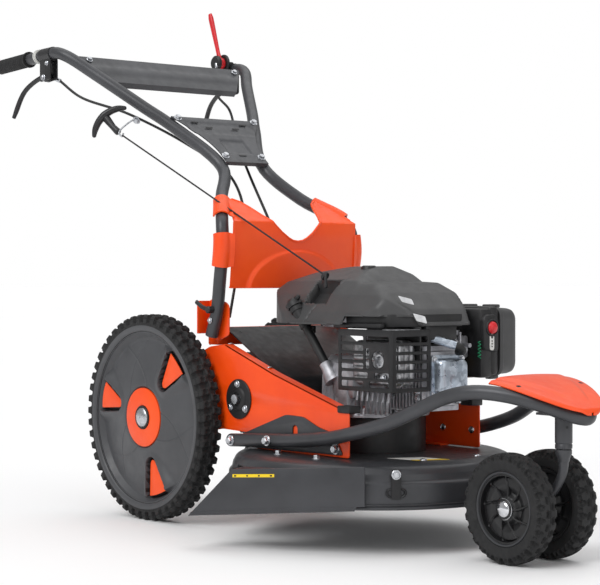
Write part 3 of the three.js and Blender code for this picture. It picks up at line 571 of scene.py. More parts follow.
BELT = rubber("belt rubber", srgb(18, 18, 19), srgb(30, 30, 31), 1200)
ZINC = plated_steel("bright zinc", srgb(168, 171, 176), srgb(214, 216, 220), (0.2, 0.36))
CHROME = plated_steel("chrome cap", srgb(196, 198, 202), srgb(232, 233, 236), (0.08, 0.16), 0.003)
BLADE = plated_steel("ground blade steel", srgb(120, 123, 128), srgb(168, 170, 175), (0.3, 0.5))
BRASS = plated_steel("brass", srgb(176, 138, 66), srgb(206, 166, 88), (0.28, 0.42))
CAST = cast_metal("die-cast aluminium", srgb(150, 150, 155), srgb(198, 198, 203))
SILVER = sheet_metal("zinc sheet", srgb(158, 168, 180), srgb(196, 205, 216), (0.24, 0.42))
EXHAUST = sheet_metal("muffler steel", srgb(150, 151, 154), srgb(196, 197, 200), (0.3, 0.5))
CORD = twisted_cord("starter cord", srgb(18, 18, 19), srgb(58, 58, 60))
SLEEVE = moulded_plastic("cable sleeve", srgb(16, 16, 17), srgb(27, 27, 28), (0.4, 0.55), 0.01)
YELLOW = coated_finish(
    "yellow marking", srgb(232, 196, 18), srgb(246, 212, 32), (0.3, 0.42), 0.004, 900
)
WHITE = coated_finish("white band", srgb(208, 208, 204), srgb(230, 230, 226), (0.4, 0.5), 0.01)

CARRIED_OVER = {
    "orange_paint": ORANGE,
    "graphite_paint": GRAPHITE,
    "deck_grey": DECK,
    "black_steel": BLACK,
    "blade_steel": BLADE,
    "die_cast": CAST,
    "zinc_sheet": SILVER,
    "muffler_steel": EXHAUST,
    "bright_zinc": ZINC,
    "black_plastic": PLASTIC,
    "lever_plastic": LEVER,
    "rim_plastic": RIM_BLACK,
    "wheel_grey": WHEEL_GREY,
    "orange_plastic": ORANGE_SHELL,
    "red_plastic": RED,
    "tyre_rubber": TYRE,
    "grip_rubber": GRIP,
    "belt_rubber": BELT,
    "cord": CORD,
    "cable_sleeve": SLEEVE,
}


def finish_carried_nodes():
    """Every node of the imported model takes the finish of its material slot."""
    for part in frame["record"]["subparts"]:
        node = frame["nodes"][part["node"]]
        node.data.materials.clear()
        node.data.materials.append(CARRIED_OVER[part["material_slot"]])


# ---- studio ----

EYE = (2986.8, -2251.8, 489.0)
HEADING, TILT = math.radians(50.77), math.radians(0.57)


def camera():
    lens = bpy.data.cameras.new("camera")
    lens.lens, lens.sensor_width = 108.65, 36.0
    lens.clip_start, lens.clip_end = 0.05, 200
    holder = bpy.data.objects.new("camera", lens)
    bpy.context.scene.collection.objects.link(holder)
    ahead = Vector(
        (
            -math.sin(HEADING) * math.cos(TILT),
            math.cos(HEADING) * math.cos(TILT),
            -math.sin(TILT),
        )
    )
    holder.location = place(EYE)
    holder.rotation_euler = ahead.to_track_quat("-Z", "Y").to_euler()
    bpy.context.scene.camera = holder


def soft_sun(name, towards, strength, spread):
    """Wide soft light from one direction; spread is the angle that its source fills."""
    light = bpy.data.lights.new(name, "SUN")
    light.energy, light.angle = strength, math.radians(spread)
    holder = bpy.data.objects.new(name, light)
    bpy.context.scene.collection.objects.link(holder)
    holder.rotation_euler = Vector(towards).to_track_quat("Z", "Y").to_euler()


def white_surround():
    """An even surround that lights the object softly and is white where it is looked at."""
    world = bpy.data.worlds.new("surround")
    world.use_nodes = True
    tree = world.node_tree
    seen = tree.nodes["Background"]
    seen.inputs["Color"].default_value = (1, 1, 1, 1)
    shining = tree.nodes.new("ShaderNodeBackground")
    shining.inputs["Color"].default_value = (1, 1, 1, 1)
    shining.inputs["Strength"].default_value = 0.42
    mix, path = tree.nodes.new("ShaderNodeMixShader"), tree.nodes.new("ShaderNodeLightPath")
    tree.links.new(path.outputs["Is Camera Ray"], mix.inputs["Fac"])
    tree.links.new(shining.outputs["Background"], mix.inputs[1])
    tree.links.new(seen.outputs["Background"], mix.inputs[2])
    tree.links.new(mix.outputs["Shader"], tree.nodes["World Output"].inputs["Surface"])
    bpy.context.scene.world = world


def studio():
    """A pale floor, an even white surround, and three soft lights."""
    across = np.linspace(-60000, 60000, 41)
    spread = np.stack([*np.meshgrid(across, across, indexing="ij"), np.zeros((41, 41))], -1)
    ground, tree, shader = bare_finish("pale floor", srgb(250, 250, 250), 0.7)
    tint = between(tree, cloud(tree, 0.8, 3), srgb(248, 248, 249), srgb(252, 252, 252))
    tree.links.new(tint, shader.inputs["Base Color"])
    mesh = bpy.data.meshes.new("floor")
    mesh.from_pydata(place(spread.reshape(-1, 3)).tolist(), [], lattice(41, 41).tolist())
    mesh.materials.append(ground)
    floor = bpy.data.objects.new("floor", mesh)
    bpy.context.scene.collection.objects.link(floor)
    white_surround()
    soft_sun("key light", (0.1, -0.8, 0.75), 1.5, 35)
    soft_sun("top light", (-0.15, 0.25, 1.0), 1.0, 70)
    soft_sun("front fill", (1.0, -0.1, 0.45), 0.45, 50)
    bpy.context.scene.view_settings.view_transform = "Standard"


finish_carried_nodes()
camera()
studio()


# ---- wheels: drawn about their own middle; a is how far out from it along the axle ----


def step(value, low, high):
    """A smooth rise from 0 at low to 1 at high."""
    t = np.clip((value - low) / (high - low), 0, 1)
    return t * t * (3 - 2 * t)


def inside(value, half, soft):
    """1 where a value is within half of 0, falling to 0 over soft."""
    return 1 - step(np.abs(value), half - soft / 2, half + soft / 2)


def wheel_points(radius, out, angle, side, centre):
    """Points at a radius, an offset outwards and an angle from forward towards up."""
    x, y, z = centre
    return np.stack(
        [x + radius * np.cos(angle), y + side * out, z + radius * np.sin(angle)], -1
    )


def tyre(name, side, centre, size, tread, node, body):
    """A tyre as one closed skin. Its section is a smooth loop of (offset out, radius) points,
    carried round the axle; the tread function gives how deep the pattern is cut at each angle
    and place on the section, and the skin is set back by that along the section's normal."""
    section, lugs, per_lug = size
    loop = np.concatenate([smooth_path(section, 7)])
    along = np.arange(0, lugs * per_lug) * 2 * np.pi / (lugs * per_lug)
    slope = np.gradient(loop, axis=0)
    normal = unit(np.stack([slope[:, 1], -slope[:, 0]], -1))
    phase = along * lugs / (2 * np.pi)
    depth = tread(phase[None, :], loop[:, 0, None], loop[:, 1, None])
    out = loop[:, 0, None] + normal[:, 0, None] * depth
    radius = loop[:, 1, None] + normal[:, 1, None] * depth
    points = wheel_points(radius, out, along[None, :], side, centre).reshape(-1, 3)
    shell = points, lattice(len(loop), len(along), True, True), []
    return piece(name, shell, TYRE, body, node, smooth=50)


REAR_SECTION = [
    (-18, 169), (-22.5, 174), (-24, 183), (-24.6, 192), (-23.6, 199), (-20, 203.6), (-12, 204.7),
    (0, 204.9), (12, 204.7), (20, 203.6), (23.6, 199), (24.6, 192), (24, 183), (22.5, 174),
    (18, 169), (14, 170.5), (0, 171), (-14, 170.5),
]


def rear_tread(phase, out, radius):
    """Two rows of bars, half a pitch apart, each with a scoop in its middle. The gaps between
    the bars run out over the shoulders, where each bar ends in a short upright block."""
    cut = np.zeros(np.broadcast(phase, out).shape)
    crown = step(radius, 196, 203.0)
    for row, shift in ((12.5, 0.0), (-12.5, 0.5)):
        u = (phase + shift + 0.1 * np.abs(out) / 20) % 1 - 0.5
        half = step(out * np.sign(row), 1.4, 2.6)
        gap = 1 - inside(u, 0.285, 0.1)
        scoop = 1 - step((u / 0.19) ** 2 + ((out - row * 0.86) / 5.6) ** 2, 0.6, 1.1)
        waist = inside(out - row * 0.86, 6.6, 2.0) * (1 - inside(u, 0.2, 0.1)) * crown
        cut += half * step(radius, 187, 190) * 6.6 * gap
        cut += half * crown * (4.2 * scoop) + half * 1.6 * waist * (1 - gap)
    cut += crown * inside(out, 1.5, 1.6) * 3.4
    cut += inside(radius - 197.2, 1.0, 0.8) * step(np.abs(out), 20, 22) * 1.8
    cut += inside(radius - 186.3, 0.9, 0.8) * step(np.abs(out), 20, 22) * 1.0
    return np.minimum(cut, 7.2)


FRONT_SECTION = [
    (-14, 63.5), (-17.5, 66), (-19.8, 72), (-20.6, 79), (-20.3, 86), (-17.5, 91.2), (-12, 93.6),
    (0, 94.4), (12, 93.6), (17.5, 91.2), (20.3, 86), (20.6, 79), (19.8, 72), (17.5, 66),
    (14, 63.5), (10, 64.5), (0, 65), (-10, 64.5),
]


def front_tread(phase, out, radius):
    """Lens-shaped notches that cross the shoulders, a short slot between each two on the side,
    a zigzag of pockets on the crown and a parting line round its middle."""
    u = phase % 1 - 0.5
    reach = np.abs(out) + np.clip(91.0 - radius, 0, 20)
    lens = 1 - step((u / 0.26) ** 2 + ((reach - 20.5) / 9.5) ** 2, 0.75, 1.1)
    v = (phase + 0.5) % 1 - 0.5
    slot = inside(v, 0.13, 0.06) * inside(radius - 86.5, 3.6, 1.2) * step(np.abs(out), 18, 19)
    row = (phase + 0.5 * (out > 0)) % 1 - 0.5
    pocket = 1 - step((row / 0.3) ** 2 + ((np.abs(out) - 6.2) / 3.8) ** 2, 0.7, 1.15)
    crown = step(radius, 88, 92)
    line = inside(out, 0.7, 0.7) * crown
    return 5.6 * lens + 3.0 * slot + 4.2 * pocket * crown + 2.0 * line


WINDOWS = np.radians([46.0, 166.0, 286.0])
DISC_R, HUB_R, LIP_R = 157.0, 59.0, 184.0


def window_distance(radius, angle):
    """How far outside the nearest window a point of the disc is, in mm; below 0 inside it.
    A window is a round cone: circles that grow from the hub towards the rim."""
    x, z = radius * np.cos(angle), radius * np.sin(angle)
    nearest = np.full(np.broadcast(x, z).shape, 1e3)
    for middle in WINDOWS:
        for share in np.linspace(0, 1, 10):
            reach, half = 98 + 50 * share, 17 + 15 * share
            gap = np.hypot(x - reach * np.cos(middle), z - reach * np.sin(middle)) - half
            nearest = np.minimum(nearest, gap)
    return nearest


def disc_seams(radius, angle):
    """Fine ridges: in each sector between two windows, two bent lines cross from the rim to
    the hub's edge."""
    share = (DISC_R - radius) / (DISC_R - HUB_R)
    height = np.zeros(np.broadcast(radius, angle).shape)
    for middle in WINDOWS + math.radians(60):
        for start, stop, tall in ((-15, 28, -0.9), (12, -30, 1.1)):
            line = middle + np.radians(start + (stop - start) * np.maximum(share, 0) ** 1.25)
            off = ((angle - line + np.pi) % (2 * np.pi) - np.pi) * radius
            height += tall * np.exp(-((off / 1.3) ** 2)) * step(share, 0.0, 0.03)
    return height


def disc_height(radius, angle):
    """How far out the disc's face lies: a lip at the rim, a steep slope into the dish, and a
    cone that rises to the hub. Round each window a hood keeps the hub's level out to the rim
    and slopes down to the cone; inside it the disc is sunk."""
    base = np.interp(
        radius,
        [40, HUB_R, 61, 66, 110, DISC_R - 4, DISC_R + 2, 171, 174, 178, LIP_R - 1, LIP_R],
        [18, 18, 22.4, 22.6, 16.8, 9.0, 9.0, 20.5, 23.4, 24.3, 24.5, 23.0],
    )
    near = window_distance(radius, angle)
    on_disc = 1 - step(radius, DISC_R - 1, DISC_R + 6)
    reach = np.interp(radius, [62, 155], [9, 27])
    slope = 1 - step(near, 2.0, 2.0 + reach)
    hood = np.maximum(22.9 - base, 0) * slope
    sunk = (20.0 + np.maximum(base - 22.9, 0)) * (1 - step(near, -2.4, 0.4))
    seams = disc_seams(radius, angle) * step(near, 5, 10)
    return base + on_disc * (hood - sunk + seams)


def rear_disc(side):
    """The moulded wheel disc: a face on polar rings, whose rings are closest where it is steep,
    walled 3 mm thick, with a hub behind it."""
    rings = np.concatenate(
        [np.linspace(44, 62, 8), np.linspace(63.2, 158, 84), np.linspace(159, LIP_R, 18)]
    )
    angle = np.arange(420) * 2 * np.pi / 420
    radius, turn = np.meshgrid(rings, angle, indexing="ij")
    centre = (0, side * 194, 205)
    face = wheel_points(radius, disc_height(radius, turn), turn, side, centre)
    wall = sheet(face if side == LEFT else face[::-1], 2.6, ring=True)
    axis = (0, side, 0)
    hub = turned([(11.5, -24), (25, -24), (30, -6), (46, 9), (46, 4), (11.5, 4)], centre, axis,
                 48, ring=True)
    rim = turned(
        [(163, -19), (168.5, -21), (168.6, 20), (176, 19.5), (176, 16.5), (164.5, 14), (163, 2)],
        centre, axis, 96, ring=True,
    )
    name = "right" if side == RIGHT else "left"
    disc = piece(f"rear_wheel_disc_{name}", joined(wall, hub, rim), WHEEL_GREY,
                 f"rear_wheel_{name}", f"rear_disc_{name}", smooth=28)

    def in_window(points):
        x, _, z = (points - centre).T
        radius = np.hypot(x, z)
        return (window_distance(radius, np.arctan2(z, x)) < -0.6) & (radius < DISC_R + 3)

    second_finish(disc, PLASTIC, in_window)


def rear_wheel_trim(side):
    """What is set into the disc: three orange inserts, the orange centre plate,
    and the plated cap in its black ring."""
    name = "right" if side == RIGHT else "left"
    body, centre, axis = f"rear_wheel_{name}", (0, side * 194, 205), (0, side, 0)
    shares, across = np.linspace(0, 1, 22), np.linspace(-1, 1, 15)
    inserts = []
    for middle in WINDOWS:
        reach = 87 + 69 * shares
        half = 27.5 * np.interp(shares, [0, 0.04, 0.12, 1], [0.06, 0.2, 0.32, 1.0])
        radius = reach[:, None] + 0 * across
        turn = middle + across[None, :] * (half / reach)[:, None]
        out = 16.6 + 1.2 * (1 - across[None, :] ** 2) * step(shares, 0, 0.2)[:, None] + 0 * turn
        grid = wheel_points(radius, out, turn, side, centre)
        inserts.append(sheet(grid if side == LEFT else grid[::-1], 1.6))
    piece(f"wheel_inserts_{name}", joined(*inserts), ORANGE_SHELL, body)
    plate = [(23.6, 22.6), (24.2, 23.8), (56.6, 23.4), (58.3, 22.6), (58.6, 19), (23.6, 19)]
    piece(f"wheel_centre_{name}", turned(plate, centre, axis, 96, ring=True), ORANGE_SHELL,
          body)
    collar = [(19.6, 14), (23.2, 14), (23.2, 25.4), (22.2, 26.4), (20.4, 26.4), (19.6, 25.4)]
    piece(f"cap_collar_{name}", turned(collar, centre, axis, 64, ring=True), PLASTIC, body)
    t = np.radians(np.linspace(90, 0, 9))
    dome = [*np.column_stack([19.3 * np.cos(t), 25 + 6.4 * np.sin(t)]), (19.3, 16), (0, 16)]
    dimple = turned([(0, 31.9), (1.6, 31.9), (1.6, 29), (0, 29)], centre, axis, 16)
    piece(f"wheel_cap_{name}", joined(turned(dome, centre, axis, 64), dimple), ZINC, body)


def front_rim_height(radius, angle):
    """The rim's face: a lip, a deep dish, and nine curved ribs that stand up out of it."""
    base = np.interp(
        radius, [17, 21, 26, 40, 52, 57, 60, 63.4], [10, 9, 2, -4, -3.5, 6, 14.8, 15.2]
    )
    share = np.clip((radius - 20) / 38, 0, 1)
    near = np.full(np.broadcast(radius, angle).shape, 99.0)
    for rib in range(9):
        line = rib * 2 * np.pi / 9 + 0.32 * share
        off = ((angle - line + np.pi) % (2 * np.pi) - np.pi) * radius
        near = np.minimum(near, np.abs(off))
    rib = 1 - step(near, 1.5, 2.9)
    top = np.interp(radius, [17, 22, 40, 54, 58], [10.5, 9.5, 5.0, 4.5, 7.0])
    return np.where(radius < 58.5, np.maximum(base, base + (top - base) * rib), base)


def front_rim(side):
    """The black rim of a front wheel, the same on both of its faces, and its plated cap."""
    name = "right" if side == RIGHT else "left"
    body, centre, axis = f"front_wheel_{name}", (849, side * 50, 94.5), (0, side, 0)
    rings = np.concatenate([np.linspace(17, 56, 34), np.linspace(57, 63.4, 8)])
    angle = np.arange(360) * 2 * np.pi / 360
    radius, turn = np.meshgrid(rings, angle, indexing="ij")
    walls = []
    for way in (side, -side):
        face = wheel_points(radius, front_rim_height(radius, turn), turn, way, centre)
        walls.append(sheet(face if way == LEFT else face[::-1], 1.8, ring=True))
    barrel = turned([(56, -13.5), (62.6, -13.5), (62.6, 13.5), (56, 13.5)], centre, axis, 72,
                    ring=True)
    hub = turned([(7.6, -19), (17.6, -19), (17.6, 15), (15, 16.5), (7.6, 16.5)], centre, axis,
                 48, ring=True)
    piece(f"front_wheel_rim_{name}", joined(*walls, barrel, hub), RIM_BLACK, body,
          f"front_rim_{name}", smooth=30)
    lip = turned([(59.2, 14.6), (60.4, 16.4), (62.6, 16.6), (63.6, 15.2), (63.6, 12), (59.2, 12)],
                 centre, axis, 96, ring=True)
    piece(f"front_wheel_lip_{name}", lip, RIM_GREY, body)
    t = np.radians(np.linspace(90, 0, 9))
    dome = [*np.column_stack([14.6 * np.cos(t), 15 + 6.4 * np.sin(t)])]
    cap = [*dome, (16.4, 14.6), (18.2, 13.8), (18.4, 9), (0, 9)]
    piece(f"front_wheel_cap_{name}", turned(cap, centre, axis, 64), CHROME, body)


for side, end in ((RIGHT, "right"), (LEFT, "left")):
    tyre(f"rear_tyre_{end}_moulded", side, (0, side * 194, 205), (REAR_SECTION, 51, 13),
         rear_tread, f"rear_tyre_{end}", f"rear_wheel_{end}")
    rear_disc(side)
    rear_wheel_trim(side)
    tyre(f"front_tyre_{end}_moulded", side, (849, side * 50, 94.5), (FRONT_SECTION, 26, 16),
         front_tread, f"front_tyre_{end}", f"front_wheel_{end}")
    front_rim(side)


# ---- cutting deck ----

ABOVE = np.array([0.0, 0.0, 1.0])
DECK_X = 445


def loft(*rings):
    """A closed shell through rings of equally many points, flat at both ends."""
    count, last = len(rings[0]), (len(rings) - 1) * len(rings[0])
    caps = [list(range(count))[::-1], list(range(last, last + count))]
    return np.concatenate(rings), lattice(len(rings), count, False, True), caps


def about_deck(profile, angles, thickness=2.5, ring=False):
    """A wall from a line of (radius, height) points turned about the blade's axis."""
    r, z = np.asarray(profile, float).T[..., None]
    grid = np.stack([DECK_X + r * np.cos(angles), r * np.sin(angles), z + 0 * angles], -1)
    return sheet(grid, -thickness, ring)


def on_deck(degrees, radius, z):
    a = math.radians(degrees)
    return (DECK_X + radius * math.cos(a), radius * math.sin(a), z)


def cutting_deck():
    """The pan: a flat top, a rounded shoulder with a step under it, and a skirt that ends in a
    rolled bead and is open beside the outlet."""
    crown = rounded([(60, 162), (236, 162), (256, 154), (262, 141)], 12, 5, ends=True)
    skirt = rounded([(262, 142), (264.5, 131), (270, 126), (270, 92), (269, 86)], 3, 3, ends=True)
    full = np.radians(np.arange(0, 360, 1.5))
    open_side = np.radians(np.linspace(-52, 248, 201))
    bead = np.stack([DECK_X + 269.6 * np.cos(open_side), 269.6 * np.sin(open_side),
                     84.4 + 0 * open_side], -1)
    crease = np.stack([DECK_X + 272 * np.cos(open_side), 272 * np.sin(open_side),
                       91 + 0 * open_side], -1)
    pan = joined(
        about_deck(crown, full, ring=True), about_deck(skirt, open_side),
        tube(bead, 3.3, 12), tube(crease, 0.9, 8),
    )
    return piece("deck_shell", pan, DECK, "chassis", "deck_pan", smooth=40)


def outlet_guard():
    """The flat guard at a tangent to the pan, with its roof, and the return along its slanted
    rear edge. Places on it are (distance back along it, height)."""
    lean = math.radians(32)
    back = np.array([-math.cos(lean), -math.sin(lean), 0.0])
    out = np.array([math.sin(lean), -math.cos(lean), 0.0])
    origin = np.array([DECK_X, 0.0, 0.0]) + 273.6 * out

    def at(t, k, z):
        return origin + t * back + k * out + (0, 0, z)

    def flat(outline, k, thick, edge=0.5):
        lined = [(-t, z) for t, z in outline]
        return laid(cut_plate(lined, thick, (), edge), origin + k * out, -back, ABOVE)

    face = [(261, 60), (-48, 80.6), (-52, 88), (-67, 89), (-67, 158), (177.5, 146)]
    roof = [at(t, k, 0)[:2] for t, k in ((-40, 1), (-24, -6), (0, -6.6), (30, -8), (80, -22),
                                         (130, -44), (177.5, -46), (177.5, 1))]
    rear = [
        [at(t - 3, -46, z), at(t - 3, 2.8, z), at(t, 2.8, z), at(t, -46, z)]
        for t, z in ((261, 60), (177.5, 146))
    ]
    brace = [(258, 64), (-45, 84), (-45, 88), (254, 68)]
    shell = joined(flat(face, 0, 3, 0.8), flat(brace, 2.6, 1.2, 0.4), loft(*np.array(rear)),
                   moved(cut_plate(roof, 3, (), 0.5), (0, 0, 143)))
    piece("outlet_guard", shell, DECK, "chassis", "discharge_panel", smooth=30)
    label = [(176, 131.5), (98, 134.5), (98, 140), (176, 137)]
    piece("guard_label", flat(label, 2.7, 0.7, 0.1), YELLOW, "chassis")
    marks = [[(t, 133 + 0.0385 * (172 - t)), (t - w, 133 + 0.0385 * (172 - t + w)),
              (t - w, 135.6 + 0.0385 * (172 - t + w)), (t, 135.6 + 0.0385 * (172 - t))]
             for t, w in ((173, 4), (150, 3), (128, 3), (106, 4))]
    piece("guard_label_marks", joined(*[flat(m, 3.1, 0.6, 0.1) for m in marks]), PLASTIC,
          "chassis")


def deck_fittings():
    """Coach bolts, hexagon bolts and the sprung clip on the skirt, and two blank labels."""
    clip_at = np.array(on_deck(-33, 264, 0))
    clip_out = unit(np.array(on_deck(-33, 1, 0)) - (DECK_X, 0, 0))
    beside = np.cross(ABOVE, clip_out)
    strip = [(-9, 100), (9, 100), (9, 127), (8, 152), (-8, 152), (-9, 127)]
    clip = laid(cut_plate(rounded(strip, 3), 2.4), clip_at + 6.2 * clip_out, beside, ABOVE)
    wires = [tube(smooth_path([clip_at + s * beside * a + clip_out * 8 + (0, 0, z)
                               for a, z in ((9, 118), (15, 116), (16, 109), (10, 104))], 5), 2.2, 8)
             for s in (1, -1)]
    piece("skirt_clip", joined(clip, *wires), BLACK, "chassis")
    bolts = [hexagon_bolt(clip_at + 8.2 * clip_out + (0, 0, 143), clip_out, 11, 5)]
    bolts += [hexagon_bolt((x, s * 200, 161.6), ABOVE, 11, 6) for x in (411, 520) for s in (1, -1)]
    bolts += [dome_bolt(on_deck(a, 222, 161.8), ABOVE, 7, 3.4) for a in (16, -18, 120, 160, 200)]
    piece("deck_bolts", joined(*bolts), ZINC, "chassis", smooth=30)
    plate = [(592, -96), (640, -84), (660, -30), (620, -36)]
    piece("deck_note", moved(cut_plate(plate, 0.7, (), 0.1), (0, 0, 161.7)), WHITE, "chassis")
    band = [(640, -84), (655, -80), (676, -24), (660, -30)]
    piece("deck_warning", moved(cut_plate(band, 0.7, (), 0.1), (0, 0, 161.7)), YELLOW, "chassis")


def pedestal():
    """The plain black drum between the deck and the engine, open at the back for the belt."""
    full = np.radians(np.arange(0, 360, 3.0))
    walled = np.radians(np.linspace(-140, 140, 95))
    walls = [
        about_deck([(99, 173.2), (99, 162.4)], full, 6, True),
        about_deck([(99, 201.2), (99, 173)], walled, 6),
        about_deck([(74, 227), (97.5, 227), (99, 225.6), (99, 201)], full, 4, True),
    ]
    piece("pedestal_drum", joined(*walls), BLACK, "chassis", "engine_pedestal")


# ---- frame ----


def pressed(path, width, y, side, thickness=3):
    """A strip of sheet that follows a line in x and z, from the plate inwards."""
    line = np.asarray(path, float)
    across = np.array([0.0, width])
    grid = np.stack([line[:, None, 0] + 0 * across, side * (y - across) + 0 * line[:, None, 0],
                     line[:, None, 1] + 0 * across], -1)
    return sheet(grid, side * thickness)


def frame_side(side):
    """The orange plate beside the engine, its sloping top and its foot folded inwards."""
    name = "right" if side == RIGHT else "left"
    outline = [(194, 192), (282, 190), (300, 163.5), (565, 163.5), (565, 246), (349, 306),
               (202, 355.5), (150, 349), (124, 338), (60, 300), (-30, 235), (-30, 175), (60, 171)]
    y = 160 if side == LEFT else -160
    front = y + 3 if side == LEFT else y
    holes = [circle(10.4, 24) + (0, 205), circle(10.4, 24) + (246, 252)]
    face = side_plate(rounded(outline, 5, 3), front, 3, holes, 0.9)
    lips = pressed(rounded([(202, 355), (349, 305.6), (564, 246)], 8, 3, ends=True), 18, 163, side)
    foot = moved(cut_plate([(300, 0), (480, 0), (480, 22), (300, 22)], 3), (0, -163, 162.3))
    foot = foot if side == RIGHT else mirrored(foot)
    piece(f"frame_plate_{name}", joined(face, lips, foot), ORANGE, "chassis",
          f"side_plate_{name}", smooth=30)


def frame_fittings(side):
    """The slotted bracket, the bearing flange and their bolts."""
    name = "right" if side == RIGHT else "left"

    def outer(depth, thick):
        return -depth if side == RIGHT else depth + thick

    bracket = [(256, 186), (297, 200), (390, 231), (440, 230), (483, 214), (524, 206), (552, 168),
               (300, 163.5), (256, 166)]
    slot = np.concatenate([arc((417.5, 206), 7.5, 0, 180, 10),
                           arc((417.5, 182), 7.5, 180, 360, 10)])
    piece(f"slotted_bracket_{name}",
          side_plate(rounded(bracket, 8, 4), outer(163.3, 3), 3, [slot], 0.7),
          GRAPHITE, "chassis", f"frame_bracket_{name}")
    outwards = (0, side, 0)
    hub = (246, side * 163.2, 252)
    flange = [(9.4, 0), (38, 0), (38, 2.2), (37.2, 3), (23, 3), (21, 5.6), (18.4, 6.6), (13, 6.7),
              (12, 5), (9.4, 5)]
    piece(f"flange_{name}", turned(flange, hub, outwards, 64, ring=True), BLACK, "chassis",
          f"bearing_flange_{name}")
    spots = [(246 + 28.5 * math.cos(math.radians(a)), side * 166.3,
              252 + 28.5 * math.sin(math.radians(a)))
             for a in (94, 214, 322)]
    parts = [hexagon_bolt(p, outwards, 9, 3.4, 1) for p in spots]
    parts += [hexagon_bolt((x, side * 199.4, z), outwards, 13, 6.5, 2)
              for x, z in ((267, 177), (377, 184))]
    parts += [hexagon_bolt((533, side * 166.3, 178), outwards, 13, 6, 2)]
    parts += [dome_bolt((x, side * 159.8, 196), (0, -side, 0), 7, 4) for x in (468, 545)]
    parts += [dome_bolt((x, side * 150, z), (-0.3, 0, 1), 6.5, 2.6)
              for x, z in ((200, 354.5), (322, 313.5))]
    piece(f"frame_bolts_{name}", joined(*parts), ZINC, "chassis", smooth=30)
    cap = block((536, side * 166 if side == RIGHT else 138, 243),
                (569, -138 if side == RIGHT else 166, 256), 2)
    piece(f"plate_cap_{name}", cap, PLASTIC, "chassis")
    spacers = [turned([(0, 21.5), (8, 21.5), (8, 0), (0, 0)], (x, side * 163.2, z), outwards, 20)
               for x, z in ((267, 177), (377, 184))]
    piece(f"tube_spacers_{name}", joined(*spacers), ZINC, "chassis")


def rear_frame():
    """The beam across the back with an upright for each handle tube, and the sloping cover."""
    beam = block((130, -152, 352), (162, 152, 386), 3)
    cheek = [(131, 350), (196, 372), (196, 428), (186, 436), (140, 441), (131, 437)]
    parts = [beam]
    for side in (RIGHT, LEFT):
        inner = -147.6 if side == RIGHT else 150.6
        parts.append(side_plate(rounded(cheek, 5, 3), inner, 3, (), 0.8))
        low, high = sorted((side * 148.5, side * 179))
        parts.append(block((130, low, 374), (133.2, high, 438), 1.4))
    piece("rear_beam", joined(*parts), ORANGE, "chassis", "rear_cross_member",
          smooth=30)
    slope = rounded([(164, 384), (196, 373), (343, 293), (351.2, 284), (351.2, 262)], 6, 3,
                    ends=True)
    across = np.linspace(-142, 142, 41)
    ridge = 3.4 * (1 - step(np.abs(across - np.array([-122.0, 122.0])[:, None]), 3.5, 6.0)).sum(0)
    run = step(slope[:, 0], 180, 195) * (1 - step(slope[:, 0], 285, 300))
    grid = np.stack([slope[:, None, 0] + 0 * across, across + 0 * slope[:, None, 0],
                     slope[:, None, 1] + ridge * run[:, None]], -1)
    piece("rear_cover_sheet", sheet(grid, 2.5), BLACK, "chassis", "rear_cover")
    lower = [block((330, -142, 255), (336, 142, 258.5), 1),
             block((346, -142, 240), (351, 142, 262), 1)]
    piece("rear_cover_lip", joined(*lower), BLACK, "chassis")
    u, v = (0, 1, 0), (-147, 0, 80)
    label = rounded([(-92, 0), (34, 0), (34, 44), (-92, 44)], 2, 2)
    piece("cover_label", laid(cut_plate(label, 0.8, (), 0.1), (241, 0, 349), u, v), YELLOW_PALE,
          "chassis")
    lines = [laid(cut_plate([(a, b), (a + w, b), (a + w, b + 3), (a, b + 3)], 0.5, (), 0.1),
                  (241.3, 0, 349.6), u, v)
             for a, b, w in ((-84, 34, 40), (-84, 24, 30), (-84, 14, 36), (-30, 34, 54),
                             (-30, 24, 44), (-30, 14, 50))]
    piece("cover_label_lines", joined(*lines), BLACK, "chassis")


def front_loop():
    """The bent tube that runs round the front, its swivel socket, and the gusset between."""
    half = [(252, -187, 176), (377, -187, 184), (427, -186, 187), (531, -182, 198),
            (600, -174, 213), (664, -159, 232), (724, -142, 259), (773, -128, 281),
            (826, -115, 292), (880, -88, 288), (930, -52, 272), (964, -20, 256)]
    path = half + [(975, 0, 252)] + [(x, -y, z) for x, y, z in half[::-1]]
    loop = tube(smooth_path(path, 6), 12.4, 24)
    socket = [(10.2, 198), (13.6, 198), (14.6, 199), (14.6, 205), (13.9, 206), (13.9, 207.4),
              (14.8, 208.4), (14.8, 259), (12, 261.5), (10.2, 261.5)]
    sleeve = turned(socket, (925, 0, 0), ABOVE, 40, ring=True)
    web = cut_plate([(905, -46), (933, -46), (975, -8), (975, 8), (933, 46), (905, 46)], 4)
    piece("front_loop", joined(loop, sleeve, moved(web, (0, 0, 256))), GRAPHITE, "chassis",
          "front_frame")
    hole = turned([(0, 14.95), (2.6, 14.95), (2.6, 12), (0, 12)], (925, 0, 235), (0.9, -0.44, 0),
                  16)
    piece("grease_hole", hole, PLASTIC, "chassis")


